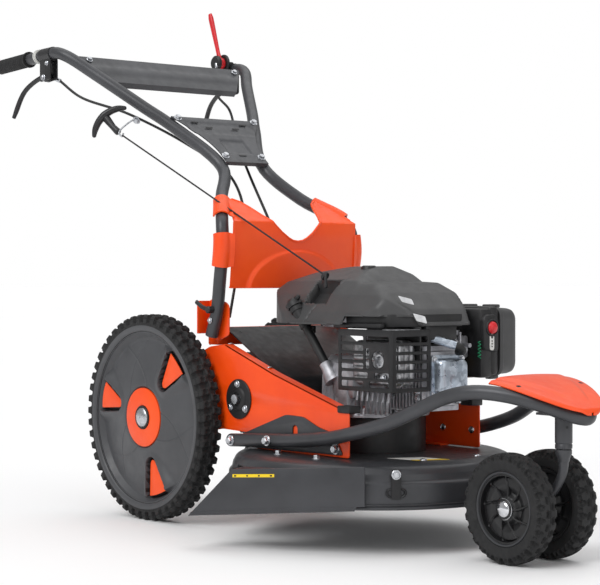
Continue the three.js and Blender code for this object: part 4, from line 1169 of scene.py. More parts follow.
def nose():
    """The orange cover on the front of the loop: a domed sheet, widest at the back, whose rim
    turns down over the tube, with a raised panel between two creases."""
    u = np.concatenate([np.linspace(0, 0.9, 34), 1 - 0.1 * np.linspace(1, 0, 14)[1:] ** 2])[:, None]
    v = np.linspace(-1, 1, 61)[None, :]
    half = 94 * np.sqrt(np.maximum(0, 1 - u**1.7)) + 3
    x = 846 + 141 * u + 0 * v
    rise = 309.5 - 44 * u**1.6 + 4 * (1 - v * v) * (1 - u)
    panel = 3.2 * (1 - step(np.abs(v) + 0.55 * (u - 0.4), 0.5, 0.66)) * (1 - step(u, 0.66, 0.86))
    turn_down = 4.2 * step(np.abs(v), 0.9, 1.0) ** 2 + 4.0 * step(u, 0.965, 1.0) ** 2
    seat = 1.8 * (1 - step(np.hypot((u - 0.34) * 141, (np.abs(v) * half - 76)), 4.5, 6.5))
    grid = np.stack([x, v * half, rise + panel - turn_down - seat], -1)
    piece("nose_shell", sheet(grid, 2.5), ORANGE, "chassis", "nose_cover",
          smooth=60)
    screws = [cap_screw((894, s * 76, 302), (0.28, s * 0.12, 1), 4.2, 2.4) for s in (1, -1)]
    piece("nose_screws", joined(*screws), PLASTIC, "chassis")


def fork():
    """The caster's stem, its collar, the arm, a flattened blade that curves back between the
    wheels, and the hub on its axle."""
    stem = [(0, 253.5), (9.7, 253.5), (9.7, 197), (0, 197)]
    collar = [(0, 197), (13.2, 197), (14, 196), (14, 190), (10.5, 182), (9.5, 176), (0, 176)]
    line = smooth_path([(925, 0, 186), (923.5, 0, 160), (905, 0, 128), (876, 0, 108), (852, 0, 97)],
                       8)
    share = np.linspace(0, 1, len(line))
    oval = circle(1.0, 28) * (7.6, 9.4)
    arm = carried(oval, line, (0, 1, 0), 1.0 - 0.08 * np.sin(share * np.pi))
    hub = turned([(7, -27), (15, -27), (15, 27), (7, 27)], (849, 0, 94.5), (0, 1, 0), 40, ring=True)
    shaft = tube([(849, -66, 94.5), (849, 66, 94.5)], 6.9, 24)
    shell = joined(turned(stem, (925, 0, 0), ABOVE, 32), turned(collar, (925, 0, 0), ABOVE, 40),
                   arm, hub, shaft)
    piece("caster_arm", shell, GRAPHITE, "caster", "caster_fork")


YELLOW_PALE = coated_finish("pale label", srgb(222, 186, 110), srgb(238, 204, 130), (0.4, 0.5),
                            0.004)
cutting_deck()
outlet_guard()
deck_fittings()
pedestal()
for machine_side in (RIGHT, LEFT):
    frame_side(machine_side)
    frame_fittings(machine_side)
rear_frame()
front_loop()
nose()
fork()


# ---- engine ----


def box_ring(x, y0, y1, z0, z1, radius):
    """A rounded rectangle in y and z at one x."""
    flat = rounded([(y0, z0), (y1, z0), (y1, z1), (y0, z1)], radius, 5)
    return np.column_stack([np.full(len(flat), float(x)), flat])


def flat_ring(outline, z):
    return np.column_stack([outline, np.full(len(outline), float(z))])


def crankcase():
    """A turned case on a bolted flange with upright ribs, and the finned cylinder in front."""
    body = [(12.4, 227.6), (105, 227.6), (106, 228.6), (106, 234), (104, 236.4), (95, 237.5),
            (92.4, 241), (92, 318), (88, 328), (78, 338), (70, 339.4), (12.4, 339.4)]
    parts = [turned(body, (DECK_X, 0, 0), ABOVE, 96, ring=True)]
    for k in range(26):
        a = 2 * math.pi * (k + 0.35) / 26
        c, s = math.cos(a), math.sin(a)
        rib = [(90, 240), (103.5, 236), (103.5, 239), (96, 254), (95, 300), (90, 322)]
        parts.append(laid(cut_plate(rib, 3.2, (), 0.8), (DECK_X - 1.6 * s, 1.6 * c, 0), (c, s, 0),
                          ABOVE))
    for k in range(10):
        a = 2 * math.pi * (k + 0.6) / 10
        at = (DECK_X + 98 * math.cos(a), 98 * math.sin(a), 234)
        parts.append(turned([(0, 11), (7, 11), (8, 9), (9.5, 0), (0, 0)], at, ABOVE, 20))
    parts.append(block((500, -34, 252), (635, 36, 352), 5))
    parts += [block((x, -44, 243.6), (x + 3, 46, 361), 1.2) for x in np.arange(531, 632, 8.5)]
    parts += [block((452, -108, 262), (512, -60, 330), 9),
              block((470, -112, 236), (500, -78, 300), 6)]
    parts += [tube([(478 + 14 * i, -96, 240), (486 + 14 * i, -100, 262), (482 + 14 * i, -92, 282)],
                   3.2, 10, dome=0.8) for i in range(9)]
    piece("engine_case", joined(*parts), CAST, "chassis", "crankcase", smooth=40)
    heads = [hexagon_bolt((DECK_X + 98 * math.cos(a), 98 * math.sin(a), 245), ABOVE, 9, 5, 1)
             for a in 2 * math.pi * (np.arange(10) + 0.6) / 10]
    heads += [hexagon_bolt((x, -44.5, z), (0, -1, 0), 8, 4, 1)
              for x in (548, 616) for z in (268, 280)]
    piece("case_bolts", joined(*heads), ZINC, "chassis", smooth=30)
    plug = turned([(0, 22), (5, 22), (5, 14), (8, 13), (8, 0), (0, 0)], (372, -84, 237), ABOVE, 16)
    piece("drain_plug", plug, BRASS, "chassis")


def valve_cover():
    """The pressed cover on the cylinder head: a flange, then a box with a large corner radius."""
    levels = [(635.4, 0, 8), (639.8, 0, 8), (640.2, 4.5, 11), (653, 6, 12), (657.6, 7.6, 12),
              (660.2, 10.6, 12), (660.9, 15, 12)]
    rings = [box_ring(x, -33 + d, 46 - d, 268 + d, 345 - d * 1.25, r) for x, d, r in levels]
    inner = [box_ring(x, -8 + d, 26 - d, 284 + d, 316 - d, 6) for x, d in ((660.6, 0), (661.8, 2))]
    piece("valve_cover", joined(loft(*rings), loft(*inner)), SILVER, "chassis",
          "rocker_cover", smooth=50)
    bolts = [hexagon_bolt((640, y, z), (1, 0, 0), 8, 4, 1)
             for y in (-27.5, 40.5) for z in (274, 338)]
    bolts += [hexagon_bolt((637, y, 262), (0.3, 0, -1), 10, 5, 1) for y in (-18, 8, 34)]
    piece("valve_cover_bolts", joined(*bolts), ZINC, "chassis", smooth=30)
    plug = [(627, -30, 377), (659, 8, 362)]
    piece("plug_cover", joined(tube(plug, 7.4, 28),
                               tube([(629, -27.5, 376), (631, -25, 375)], 8.2, 28),
                               tube([(652, 0, 365.2), (654, 2.4, 364.3)], 8.0, 28)),
          SILVER, "chassis", "spark_plug_boot")
    lead = smooth_path([(626, -31, 377.5), (618, -40, 381), (604, -36, 386), (590, -20, 396)], 6)
    elbow = smooth_path([(659, 8, 362), (664, 14, 359), (662, 22, 352), (648, 24, 350)], 6)
    piece("plug_lead", joined(tube(lead, 4, 12, dome=0.8), tube(elbow, 6.8, 16, dome=0.8)), PLASTIC,
          "chassis")


def exhaust():
    """The muffler's two pressed halves with a seam, its pipe and the pipe's plate."""
    outline = rounded([(521, 290), (633, 290), (633, 372), (521, 372)], 18, 6)
    centre = outline.mean(0)
    rings = []
    for y, share in ((-63.4, 0.86), (-66, 0.96), (-70, 1.0), (-91, 1.0), (-91.4, 1.035),
                     (-94, 1.035),
                     (-94.4, 1.0), (-112, 0.99), (-117, 0.94), (-119.6, 0.84)):
        flat = centre + share * (outline - centre)
        rings.append(np.column_stack([flat[:, 0], np.full(len(flat), y), flat[:, 1]]))
    ribs = [tube([(534, -119, z), (586, -119, z)], 5, 12, dome=0.8) for z in (304, 322, 340)]
    ribs.append(tube([(600, -118.5, 300), (622, -118.5, 300)], 6, 12, dome=0.8))
    ribs += [tube([(633, y, 300), (633, y, 362)], 4.5, 12, dome=0.8) for y in (-106, -78)]
    pipe = [(12, -4), (12, 6), (9, 6), (9, -4)]
    ring = turned([(20, 0), (20, 2), (9, 2), (9, 0)], (603, -119.4, 336), (0, -1, 0), 40, ring=True)
    shell = joined(loft(*rings), *ribs, ring,
                   turned(pipe, (603, -120, 336), (0, -1, 0), 40, ring=True))
    piece("muffler_box", shell, EXHAUST, "chassis", "muffler", smooth=50)
    parts = [hexagon_bolt(p, (0, -1, 0), 9, 4, 1) for p in ((574, -121, 352), (628, -119.5, 352),
                                                           (610, -121, 306))]
    piece("muffler_bolts", joined(*parts), ZINC, "chassis", smooth=30)


def slot_hole(a, b, c, d):
    return rounded([(a, c), (b, c), (b, d), (a, d)], 3.6, 4)


def exhaust_guard():
    """The black sheet cage round the muffler, folded at the front corner, with rows of round-
    ended slots and a hole for the pipe."""
    rows = [289 + 16 * row for row in range(6)]
    side_holes = [slot_hole(506, 578 if low == 305 else 566, low, low + 10.4) for low in rows]
    side_holes += [slot_hole(583, 634, 289, 299.4), slot_hole(596, 634, 305, 315.4)]
    side_holes += [slot_hole(572, 582, 322, 358), slot_hole(574, 634, 369, 379.4)]
    side_holes.append(circle(16, 28) + (605, 338))
    front_holes = [slot_hole(-119, -44, low, low + 10.4) for low in rows]
    face = side_plate(rounded([(498, 281), (635, 281), (635, 390), (498, 390)], 2, 2), -129, 2,
                      side_holes, 0.6)
    front = laid(cut_plate([(-125, 281), (-36, 281), (-36, 390), (-125, 390)], 2, front_holes, 0.6),
                 (639, 0, 0), (0, 1, 0), ABOVE)
    bend = np.radians(np.linspace(-90, 0, 9))
    corner = np.stack([np.broadcast_to(635 + 6 * np.cos(bend), (2, 9)),
                       np.broadcast_to(-125 + 6 * np.sin(bend), (2, 9)),
                       np.broadcast_to(np.array([[281.0], [390.0]]), (2, 9))], -1)
    lip = cut_plate([(500, -129), (637, -129), (639, -38), (628, -38), (560, -104), (500, -104)], 2,
                    (), 0.5)
    brace = [block((498.4, -131, 388), (640, -127.4, 391.4), 1.4),
             block((637.4, -130, 388), (641, -36, 391.4), 1.4)]
    shell = joined(face, front, sheet(corner, 2), moved(lip, (0, 0, 388)), *brace)
    piece("exhaust_cage", shell, BLACK, "chassis", "muffler_guard", smooth=30)
    straps = [block((x, -122, 389.6), (x + 14, -60, 392), 1) for x in (606, 626)]
    piece("cage_straps", joined(*straps), EXHAUST, "chassis")


# The cover over the flywheel: its outline in plan, and the greatest heights that its shape allows
# along x, along y, and across the corner above the exhaust.
COVER_PLAN = [(267, -88), (335, -128), (485, -132), (595, -112), (645, -50), (645, 62), (523, 88),
              (355, 90), (305, 70), (267, 0)]
ALONG = ([262, 267, 285, 318, 375, 400, 455, 499, 543, 579, 615, 645],
         [430, 454, 475, 492, 501, 504, 504, 473, 471, 454, 425, 389])
ACROSS = ([-132, -120, -100, -75, -5, 40, 70, 92], [396, 420, 450, 475, 504, 505, 490, 436])
CORNER = ([300, 470, 480, 490, 500, 512], [560, 505, 471, 450, 389, 330])
COVER_FOOT = 398
MOUTH, MOUTH_HALF, MOUTH_DEPTH = (412, -92), (30, 17), 22


def cover_height(x, y):
    """The lowest of the three limits, eased where two of them cross, with the rope's mouth sunk."""
    limits = [np.interp(x, *ALONG), np.interp(y, *ACROSS),
              np.interp((x - y) / math.sqrt(2), *CORNER)]
    soft = 4.0
    height = -soft * np.log(sum(np.exp(-(limit - 450) / soft) for limit in limits)) + 450
    mouth = inside(x - MOUTH[0], MOUTH_HALF[0], 4) * inside(y - MOUTH[1], MOUTH_HALF[1], 4)
    return np.minimum(height, 505.6) - MOUTH_DEPTH * mouth


def cover_patch(x0, x1, y0, y1, lean=0.0, lift=0.5):
    """A thin strip that lies on the cover, between two x and two y."""
    x, y = np.meshgrid(np.linspace(x0, x1, 6), np.linspace(y0, y1, 14), indexing="ij")
    x = x + lean * (y - y0)
    return sheet(np.stack([x, y, cover_height(x, y) + lift], -1), 1.2)


def engine_cover():
    """Rays from the middle of the plan, each followed down the height to the rim and divided
    evenly along its own length."""
    rim = rounded(COVER_PLAN, 16, 5)
    turn = np.linspace(0, 2 * np.pi, 289)[:-1]
    middle = np.array([445.0, -10.0])
    bearing = np.arctan2(*(rim - middle).T[::-1])
    order = np.argsort(bearing)
    reach = np.interp(turn, bearing[order], np.hypot(*(rim - middle).T)[order], period=2 * np.pi)
    share = np.linspace(0.03, 1, 320)[:, None]
    x = middle[0] + share * reach * np.cos(turn)
    y = middle[1] + share * reach * np.sin(turn)
    over_guard = inside(x - 572, 62, 8) * (1 - step(y, -70, -50))
    foot = COVER_FOOT + 16 * over_guard
    z = cover_height(x, y)
    z[-1] = foot[-1]
    z = np.maximum(z, foot)
    d, e = (x - y) / math.sqrt(2), (x + y) / math.sqrt(2)
    length = np.vstack([0 * reach[None], np.cumsum(np.sqrt(
        np.diff(x, axis=0)**2 + np.diff(y, axis=0)**2 + np.diff(z, axis=0)**2), axis=0)])
    even = np.linspace(0, 1, 92)
    grid = np.stack([
        np.stack([np.interp(even * length[-1, k], length[:, k], a[:, k]) for a in (x, y, z)], -1)
        for k in range(len(turn))
    ], 1)
    x, y, z = np.moveaxis(grid, -1, 0)
    d, e = (x - y) / math.sqrt(2), (x + y) / math.sqrt(2)
    left, right = 349 + 0.96 * (454 - z), 398 + 0.72 * (443.6 - z)
    band = step(e, left, left + 3) * (1 - step(e, right - 3, right)) * (1 - step(z, 452, 456))
    band *= step(d, 478, 484)
    sunk = 3.0 * band[..., None] * np.array([-0.7, 0.7, 0.0])
    crease = 1.6 * inside(x - (400 + 0.9 * (y + 132)), 1.6, 2.5) * (1 - step(y, -78, -66))
    grid = grid + sunk + np.stack([0 * x, crease, -0.3 * crease], -1)
    cover = piece("flywheel_cover", sheet(grid, 3.0, ring=True), COVER_BLACK, "chassis",
                  "blower_cover", smooth=38)
    second_finish(cover, PLASTIC, lambda p: (
        (np.abs(p[:, 0] - MOUTH[0]) < 33) & (np.abs(p[:, 1] - MOUTH[1]) < 20)))
    cap = turned([(0, 508), (11, 508), (14, 506), (16, 500), (0, 500)], (445, -10, -2.2), ABOVE, 40)
    piece("cover_cap", cap, PLASTIC, "chassis")
    vents = [cover_patch(470 + 13 * i, 476 + 13 * i, -96, -64, 0.5) for i in range(5)]
    vents += [cover_patch(330 + 12 * i, 335 + 12 * i, -58, -18, 0.25) for i in range(4)]
    vents += [cover_patch(400 + 13 * i, 406 + 13 * i, 6, 60, 0.1) for i in range(8)]
    piece("cover_vents", joined(*vents), PLASTIC, "chassis")
    windows = []
    for mid_e, mid_z, wide, tall in ((384, 443, 15, 4.6), (409, 411, 13, 6.0)):
        mid_d = np.interp(mid_z, CORNER[1][::-1], CORNER[0][::-1]) - 1.6
        at = ((mid_e + mid_d) / math.sqrt(2), (mid_e - mid_d) / math.sqrt(2), mid_z)
        outline = [(-wide, tall), (wide * 0.7, tall), (wide, -tall), (-wide * 0.5, -tall)]
        windows.append(laid(cut_plate(rounded(outline, 2, 2), 1.2, (), 0.2), at, (0.7, 0.7, -0.25),
                            (-0.1, 0.1, 0.98)))
    piece("cover_mesh", joined(*windows), MESH, "chassis")
    skirt = [block((500, -62, 334), (640, -58, 396), 1),
             moved(cut_plate(rounded([(500, -118), (606, -104), (636, -48), (636, 50), (520, 60),
                                      (500, 40)], 10, 4), 22), (0, 0, 396)),
             block((604, -46, 372), (640, 30, 400), 3),
             block((470, -120, 392), (600, -108, 402), 3)]
    piece("cover_inner", joined(*skirt), PLASTIC, "chassis")
    ring = turned([(3, -3), (8, -3), (9, 0), (8, 3), (3, 3)], (413, -90.4, 486),
                  (-0.85, -0.18, 0.5),
                  28, ring=True)
    post = tube([(424, -98, 466), (421, -96, 492)], [3.4, 2.8], 12, dome=0.8)
    piece("rope_guide", joined(ring, post), LEVER, "chassis")


def oil_filler():
    """The slanted filler tube with its stepped upper sleeve, and the cap with a grip across."""
    top, foot = np.array([366.0, -122, 428]), np.array([446.0, -104, 306])
    axis = unit(top - foot)

    def at(share):
        return top + share * (foot - top)

    tube_parts = [tube([at(0.03), at(0.3)], [11.5, 10.5], 28),
                  tube([at(0.28), at(0.96)], [8.8, 8], 28),
                  tube([at(0.0), at(0.06)], 13, 32), block((380, -113, 380), (398, -99, 394), 2)]
    piece("filler_tube", joined(*tube_parts), PLASTIC, "chassis", "oil_filler")
    knob = turned([(0, 17), (9, 17), (12, 14), (15, 9), (15, 1), (0, 1)], top, axis, 36)
    wide = unit(np.cross(axis, (0.0, 1.0, 0.0)))
    grip = [tube([top + 12 * axis - 17 * wide, top + 12 * axis + 17 * wide], 5.2, 14, dome=0.8)]
    piece("filler_cap", joined(knob, *grip), PLASTIC, "oil_plug", "oil_cap")
    piece("filler_bolt", hexagon_bolt((389, -113, 387), (0, -1, 0), 11, 5), ZINC, "chassis",
          smooth=30)
    socket = loft(*[at(s) + r * (np.cos(np.linspace(0, 2 * np.pi, 25)[:-1])[:, None] * wide
                                 + np.sin(np.linspace(0, 2 * np.pi, 25)[:-1])[:, None]
                                 * np.cross(axis, wide))
                    for s, r in ((0.84, 12), (0.9, 11.4), (1.1, 19))])
    piece("filler_socket", socket, CAST, "chassis")


def air_side():
    """Carburettor, air filter with its cover and clips, primer and fuel tank."""
    parts = [block((566, 52, 336), (611, 87, 377), 4), turned([(0, 1), (10, 1), (12, 0), (12, -9),
             (0, -9)], (589, 69.5, 378), (0, 0, -1), 24),
             tube([(612, 68, 352), (622, 68, 352)], 6, 16),
             tube([(560, 70, 360), (632, 70, 360)], 4, 12),
             block((600, 44, 342), (622, 52, 370), 2),
             block((570, 40, 340), (600, 54, 372), 3),
             tube([(616, 60, 338), (616, 60, 384)], 3, 10)]
    piece("carburettor_body", joined(*parts), CAST, "chassis", "carburettor")
    bowl = [(0, 306), (4, 306), (4.5, 309), (13, 310.5), (14.8, 314), (14.8, 333), (13, 335.6),
            (0, 336)]
    piece("carburettor_bowl", turned(bowl, (590, 68, 0), ABOVE, 40), BRASS, "chassis")
    tray = joined(block((535, 90, 300), (640, 122, 427), 7),
                  block((532, 112, 303), (641, 138, 431), 9))
    pod_outline = rounded([(91, 352), (124, 347), (129, 352), (129, 404), (122, 416), (98, 416),
                           (91, 408)], 6, 4)
    pod_middle = pod_outline.mean(0)
    pod = loft(*[np.column_stack([np.full(len(pod_outline), x),
                                  *(pod_middle + s * (pod_outline - pod_middle)).T])
                 for x, s in ((630, 1.0), (644, 1.0), (646, 0.97), (647, 0.92))])
    socket = turned([(12.4, 0), (16.4, 0), (16.4, 2), (15.6, 3.2), (13.2, 3.2), (12.4, 2)],
                    (646, 112, 392), (1, 0, 0), 40, ring=True)
    piece("filter_base", joined(tray, pod, socket), PLASTIC, "chassis",
          "air_filter_base", smooth=40)
    dome = [(0, 9.6), (4, 9.4), (8, 8.0), (10.6, 5.4), (11.8, 1.8), (11.8, -6), (0, -6)]
    piece("primer_bulb", turned(dome, (645, 112, 392), (1, 0, 0), 40), RED, "primer",
          "primer_button", smooth=60)
    label = rounded([(-5.6, -15), (5.6, -15), (5.6, 15), (-5.6, 15)], 5, 5)
    piece("primer_label", laid(cut_plate(label, 0.6, (), 0.1), (647, 111, 365.5), (0, 1, 0), ABOVE),
          WHITE, "chassis")
    dots = [laid(cut_plate(circle(r, 16), 0.5, (), 0.1), (647.4, 111, z), (0, 1, 0), ABOVE)
            for r, z in ((2.6, 374.5), (1.6, 367.5), (1.6, 362.5), (1.6, 357.5))]
    piece("primer_label_dots", joined(*dots), SLEEVE, "chassis")
    outline = rounded([(533, 302), (642, 302), (642, 430), (533, 430)], 22, 7)
    centre = outline.mean(0)
    rings = []
    for y, s in ((138.4, 0.985), (141, 1.0), (146, 1.0), (147, 0.975), (150, 0.965), (172, 0.95),
                 (180, 0.925), (184.4, 0.88), (186.2, 0.8)):
        flat = centre + s * (outline - centre)
        rings.append(np.column_stack([flat[:, 0], np.full(len(flat), y), flat[:, 1]]))
    clips = [block((x, 126, 428), (x + 22, 152, 434), 2) for x in (548, 606)]
    clips += [block((x + 4, 130, 296), (x + 18, 152, 304), 2) for x in (548, 606)]
    piece("filter_cover", joined(loft(*rings), *clips), COVER_BLACK, "chassis",
          "air_filter_cover", smooth=45)
    spring = np.linspace(0, 10 * np.pi, 90)
    coil = np.column_stack([640 + 2.6 * np.cos(spring), 86 + 2.6 * np.sin(spring),
                            336 + 1.0 * spring])
    piece("governor_spring", tube(coil, 0.8, 8), SPRING_GREEN, "chassis")
    tank = rounded([(315, 97), (505, 97), (505, 158), (315, 158)], 20, 6)
    centre = tank.mean(0)
    levels = [(322, 0.9), (326, 0.97), (331, 1.0), (370, 1.0), (370.6, 1.012), (374, 1.012),
              (374.6, 1.0), (410, 1.0), (418, 0.965), (422, 0.88)]
    rings = [flat_ring(centre + s * (tank - centre), z) for z, s in levels]
    neck = turned([(14.2, 421), (17, 421), (17, 433.8), (14.2, 433.8)], (385, 127, 0), ABOVE, 40,
                  ring=True)
    piece("fuel_tank_shell", joined(loft(*rings), neck), PLASTIC, "chassis",
          "fuel_tank", smooth=45)
    angles = np.arange(96) * 2 * np.pi / 96
    radius = 22.4 - 1.1 * (np.cos(angles * 16) > 0.5)
    knurl = np.column_stack([385 + radius * np.cos(angles), 127 + radius * np.sin(angles)])
    centre = np.array([385.0, 127])
    cap = loft(*[flat_ring(centre + s * (knurl - centre), z)
                 for z, s in ((434.4, 1.0), (446, 1.0), (448.6, 0.95), (450, 0.85))])
    stem = turned([(0, 434.6), (13.4, 434.6), (13.4, 414), (0, 414)], (385, 127, 0), ABOVE, 32)
    piece("fuel_cap_knob", joined(cap, stem), PLASTIC, "fuel_plug", "fuel_cap",
          smooth=30)


COVER_BLACK = moulded_plastic("cover plastic", srgb(58, 58, 59), srgb(70, 70, 71), (0.4, 0.53),
                              0.03)
MESH = plated_steel("vent mesh", srgb(205, 206, 208), srgb(228, 229, 231), (0.4, 0.5))
SPRING_GREEN = coated_finish("green spring", srgb(20, 120, 80), srgb(30, 150, 100), (0.35, 0.45),
                             0.004)
crankcase()
valve_cover()
exhaust()
exhaust_guard()
engine_cover()
oil_filler()
air_side()


# ---- handle: each tube, grip and lever is drawn on the right and mirrored ----

TUBE_PATH = np.array([
    (160, -165, 370), (178, -165, 421), (187, -165, 480), (196, -165, 548), (186, -159, 588),
    (107, -101, 643), (46, -54, 706), (-53, -106, 792), (-105, -140, 832), (-200, -198, 904),
    (-252, -232, 943), (-284, -240, 954), (-330, -240, 953), (-392, -240, 950)], float)
PLATE_OUT = unit((0.65, 0.0, 0.76))


def both(side, shell):
    return shell if side == RIGHT else mirrored(shell)


def handle_side(side):
    """A tube from the frame to the grip, its grip, and the hand lever between two plates."""
    name = "right" if side == RIGHT else "left"
    path = smooth_path(TUBE_PATH, 7)
    plates = [side_plate(rounded([(-337, 896), (-296, 900), (-296, 944), (-306, 950), (-337, 950)],
                                 6, 3),
                         y, 3, (), 0.8) for y in (-247, -230)]
    saddle = tube([(-337, -240, 953), (-297, -240, 954)], 14.6, 28)
    piece(f"handle_bar_{name}", both(side, joined(tube(path, 12.4, 24), tube(
        [(-390, -240, 950), (-516, -240, 944)], 11.4, 20))), GRAPHITE, "handle",
          f"handle_tube_{name}")
    piece(f"lever_bracket_{name}", both(side, joined(*plates, saddle)), LEVER, "handle")
    along = np.linspace(0, 1, 120)
    sleeve = np.array([-394, -240, 949.9]) + along[:, None] * np.array([-125.5, 0, -6.0])
    swell = 15.0 + 0.5 * np.cos(along * 34 * np.pi) * inside(along - 0.5, 0.44, 0.03)
    swell = swell + 2.2 * (1 - step(along, 0.03, 0.06)) + 0.6 * step(along, 0.965, 0.975)
    swell[-1], swell[-2], swell[-3] = 11.0, 14.0, 15.1
    piece(f"hand_grip_{name}", both(side, tube(sleeve, swell, 40)), GRIP, "handle",
          f"grip_{name}", smooth=50)
    line = smooth_path([(-322, -240, 905), (-346, -240, 907), (-402, -248, 881), (-438, -254, 827)],
                       9)
    share = np.linspace(0, 1, len(line))
    width = np.interp(share, [0, 0.1, 0.5, 0.9, 1], [1.15, 1.0, 0.9, 1.0, 0.75])
    lever = carried(circle(1.0, 24) * (5.6, 5.4), line, (0, 1, 0), width)
    boss = turned([(0, -5.8), (8, -5.8), (9, -5), (9, 5), (8, 5.8), (0, 5.8)], (-322, -240, 905),
                  (0, 1, 0), 32)
    piece(f"squeeze_lever_{name}", both(side, joined(lever, boss)), LEVER, f"hand_lever_{name}",
          f"hand_lever_{name}")
    bolts = [hexagon_bolt((-322, -250, 905), (0, -1, 0), 9, 4, 1),
             hexagon_bolt((-308, -250, 934), (0, -1, 0), 7, 3, 1),
             hexagon_bolt((178, -178.5, 421), (0, -1, 0), 15, 1.6, 1.4),
             hexagon_bolt((172, -177.8, 400), (0, -1, 0), 8, 2.6, 1)]
    if side == RIGHT:
        bolts = bolts[:2] + bolts[3:]
    piece(f"handle_bolts_{name}", both(side, joined(*bolts)), ZINC, "handle",
          smooth=30)
    bands = [tube([(x, -240, 952.4), (x - 2.6, -240, 952.2)], 15.2, 28) for x in (-349, -355)]
    piece(f"cable_bands_{name}", both(side, joined(*bands)), WHITE, "handle")


def folded(rows, halves, name, node, dips=()):
    """A sheet across the two tubes from a line in x and z with its half width at each point."""
    rows, halves = np.asarray(rows, float), np.asarray(halves, float)
    w = np.linspace(-1, 1, 81)
    y = halves[:, None] * w
    grid = np.stack([rows[:, None, 0] + 0 * w, y, rows[:, None, 1] + 0 * w], -1)
    for y_middle, y_half, first, last, depth in dips:
        share = np.linspace(0, 1, len(rows))[:, None]
        dip = inside(y - y_middle, y_half, 5) * inside(share - (first + last) / 2,
                                                       (last - first) / 2, 0.04)
        grid = grid - depth * dip[..., None] * PLATE_OUT
    piece(name, sheet(grid, -2.2), GRAPHITE, "handle", node, smooth=35)


PLATE_TOP = (-51, 813)
PLATE_RUN, PLATE_DROP = 112, 96


def plate_height(x):
    """The height of the waisted plate's face, which falls evenly over its length."""
    return PLATE_TOP[1] - PLATE_DROP * (x - PLATE_TOP[0]) / PLATE_RUN


def cross_members():
    """The channel under the grips and the waisted plate that bolts the two tubes together."""
    out = unit((0.714, 0.0, 0.70))[[0, 2]]
    u = np.linspace(0, 1, 15)
    face = np.column_stack([-245 + 54 * u, 946 - 55 * u])
    line = np.vstack([face[0] - 15 * out, face, face[-1] - 15 * out])
    half = np.concatenate([[210], 210 - 46 * u, [164]])
    ridge = np.sin(np.clip((u - 0.3) / 0.4, 0, 1) * np.pi) * 2.0
    line[1:-1] += ridge[:, None] * out
    folded(line, half, "grip_beam", "cross_beam")
    u = np.linspace(0, 1, 41)
    waist = 112 - 62 * np.sin(np.minimum(u, 0.86) * np.pi / 1.72) + 4 * u
    out2 = PLATE_OUT[[0, 2]]
    face = np.column_stack([PLATE_TOP[0] + PLATE_RUN * u, PLATE_TOP[1] - PLATE_DROP * u])
    line = np.vstack([face[0] - 9 * out2, face, face[-1] - 9 * out2])
    folded(line, np.concatenate([[112], waist, [54]]), "waist_plate", "cross_plate",
           [(0, 30, 0.5, 0.78, 2.4), (0, 86, 0.12, 0.36, 1.6)])
    spots = [(46.5, 46), (-53 + 6, 98)]
    bolts = [hexagon_bolt(np.array([x, s * y, plate_height(x)]), PLATE_OUT, 11, 5)
             for x, y in spots for s in (1, -1)]
    bolts += [hexagon_bolt((-236, s * 190, 939), (0.71, 0, 0.7), 9, 4) for s in (1, -1)]
    piece("plate_bolts", joined(*bolts), ZINC, "handle", smooth=30)
    u_dir = (0, 1, 0)
    v_dir = unit((-PLATE_RUN, 0, PLATE_DROP))
    slots = [laid(cut_plate(rounded([(-9, -2), (9, -2), (9, 2), (-9, 2)], 2, 3), 0.7, (), 0.1),
                  np.array([x, y, plate_height(x)]) + 0.3 * PLATE_OUT, u_dir, v_dir)
             for x, y in ((-38, 62), (-38, -62), (-26, 34), (-26, -34), (44, 0))]
    piece("plate_slots", joined(*slots), PLASTIC, "handle")


GUARD_FOOT, GUARD_CREST, GUARD_BEND = 463, 640, 592
GUARD_WALL, WRAP_RADIUS = 3.0, 15.4
GUARD_X, GUARD_RAKE, GUARD_LEAN = 206, 0.08, 1.72
GUARD_WRAPS = ((505, 567), (597, 630))
# The top edge's height by distance from the middle plane, and the side edge's distance from that
# plane by height.
GUARD_TOP = ([0, 12, 24, 40, 56, 72, 82, 92, 104, 160],
             [555, 556.5, 562, 573, 588, 606, 622, 633, 638, 640])
GUARD_EDGE = ([GUARD_FOOT, GUARD_BEND, 650], [156, 154, 102])


def guard_x(y, z):
    """How far forward the guard's face is at a height: it leans back with the tubes above their
    bend, bulges a little in the middle, and stands out inside a wide half ellipse."""
    arch = np.hypot(y / 121, (z - 458) / 80)
    proud = 5.0 * (1 - step(arch, 0.93, 1.0))
    lean = np.maximum(0, z - GUARD_BEND)
    soft = 10 * np.cos(np.clip(y / 180, -1, 1) * np.pi / 2)
    belly = soft * (1 - step(z, 560, 600) * 0.6)
    return GUARD_X + GUARD_RAKE * (z - GUARD_FOOT) + belly + proud - GUARD_LEAN * lean


def leg_line(z):
    """The middle of the right tube at a height below its waist."""
    path = smooth_path(TUBE_PATH[:7], 8)
    return np.stack([np.interp(z, path[:, 2], path[:, 0]), np.interp(z, path[:, 2], path[:, 1]), z],
                    -1)


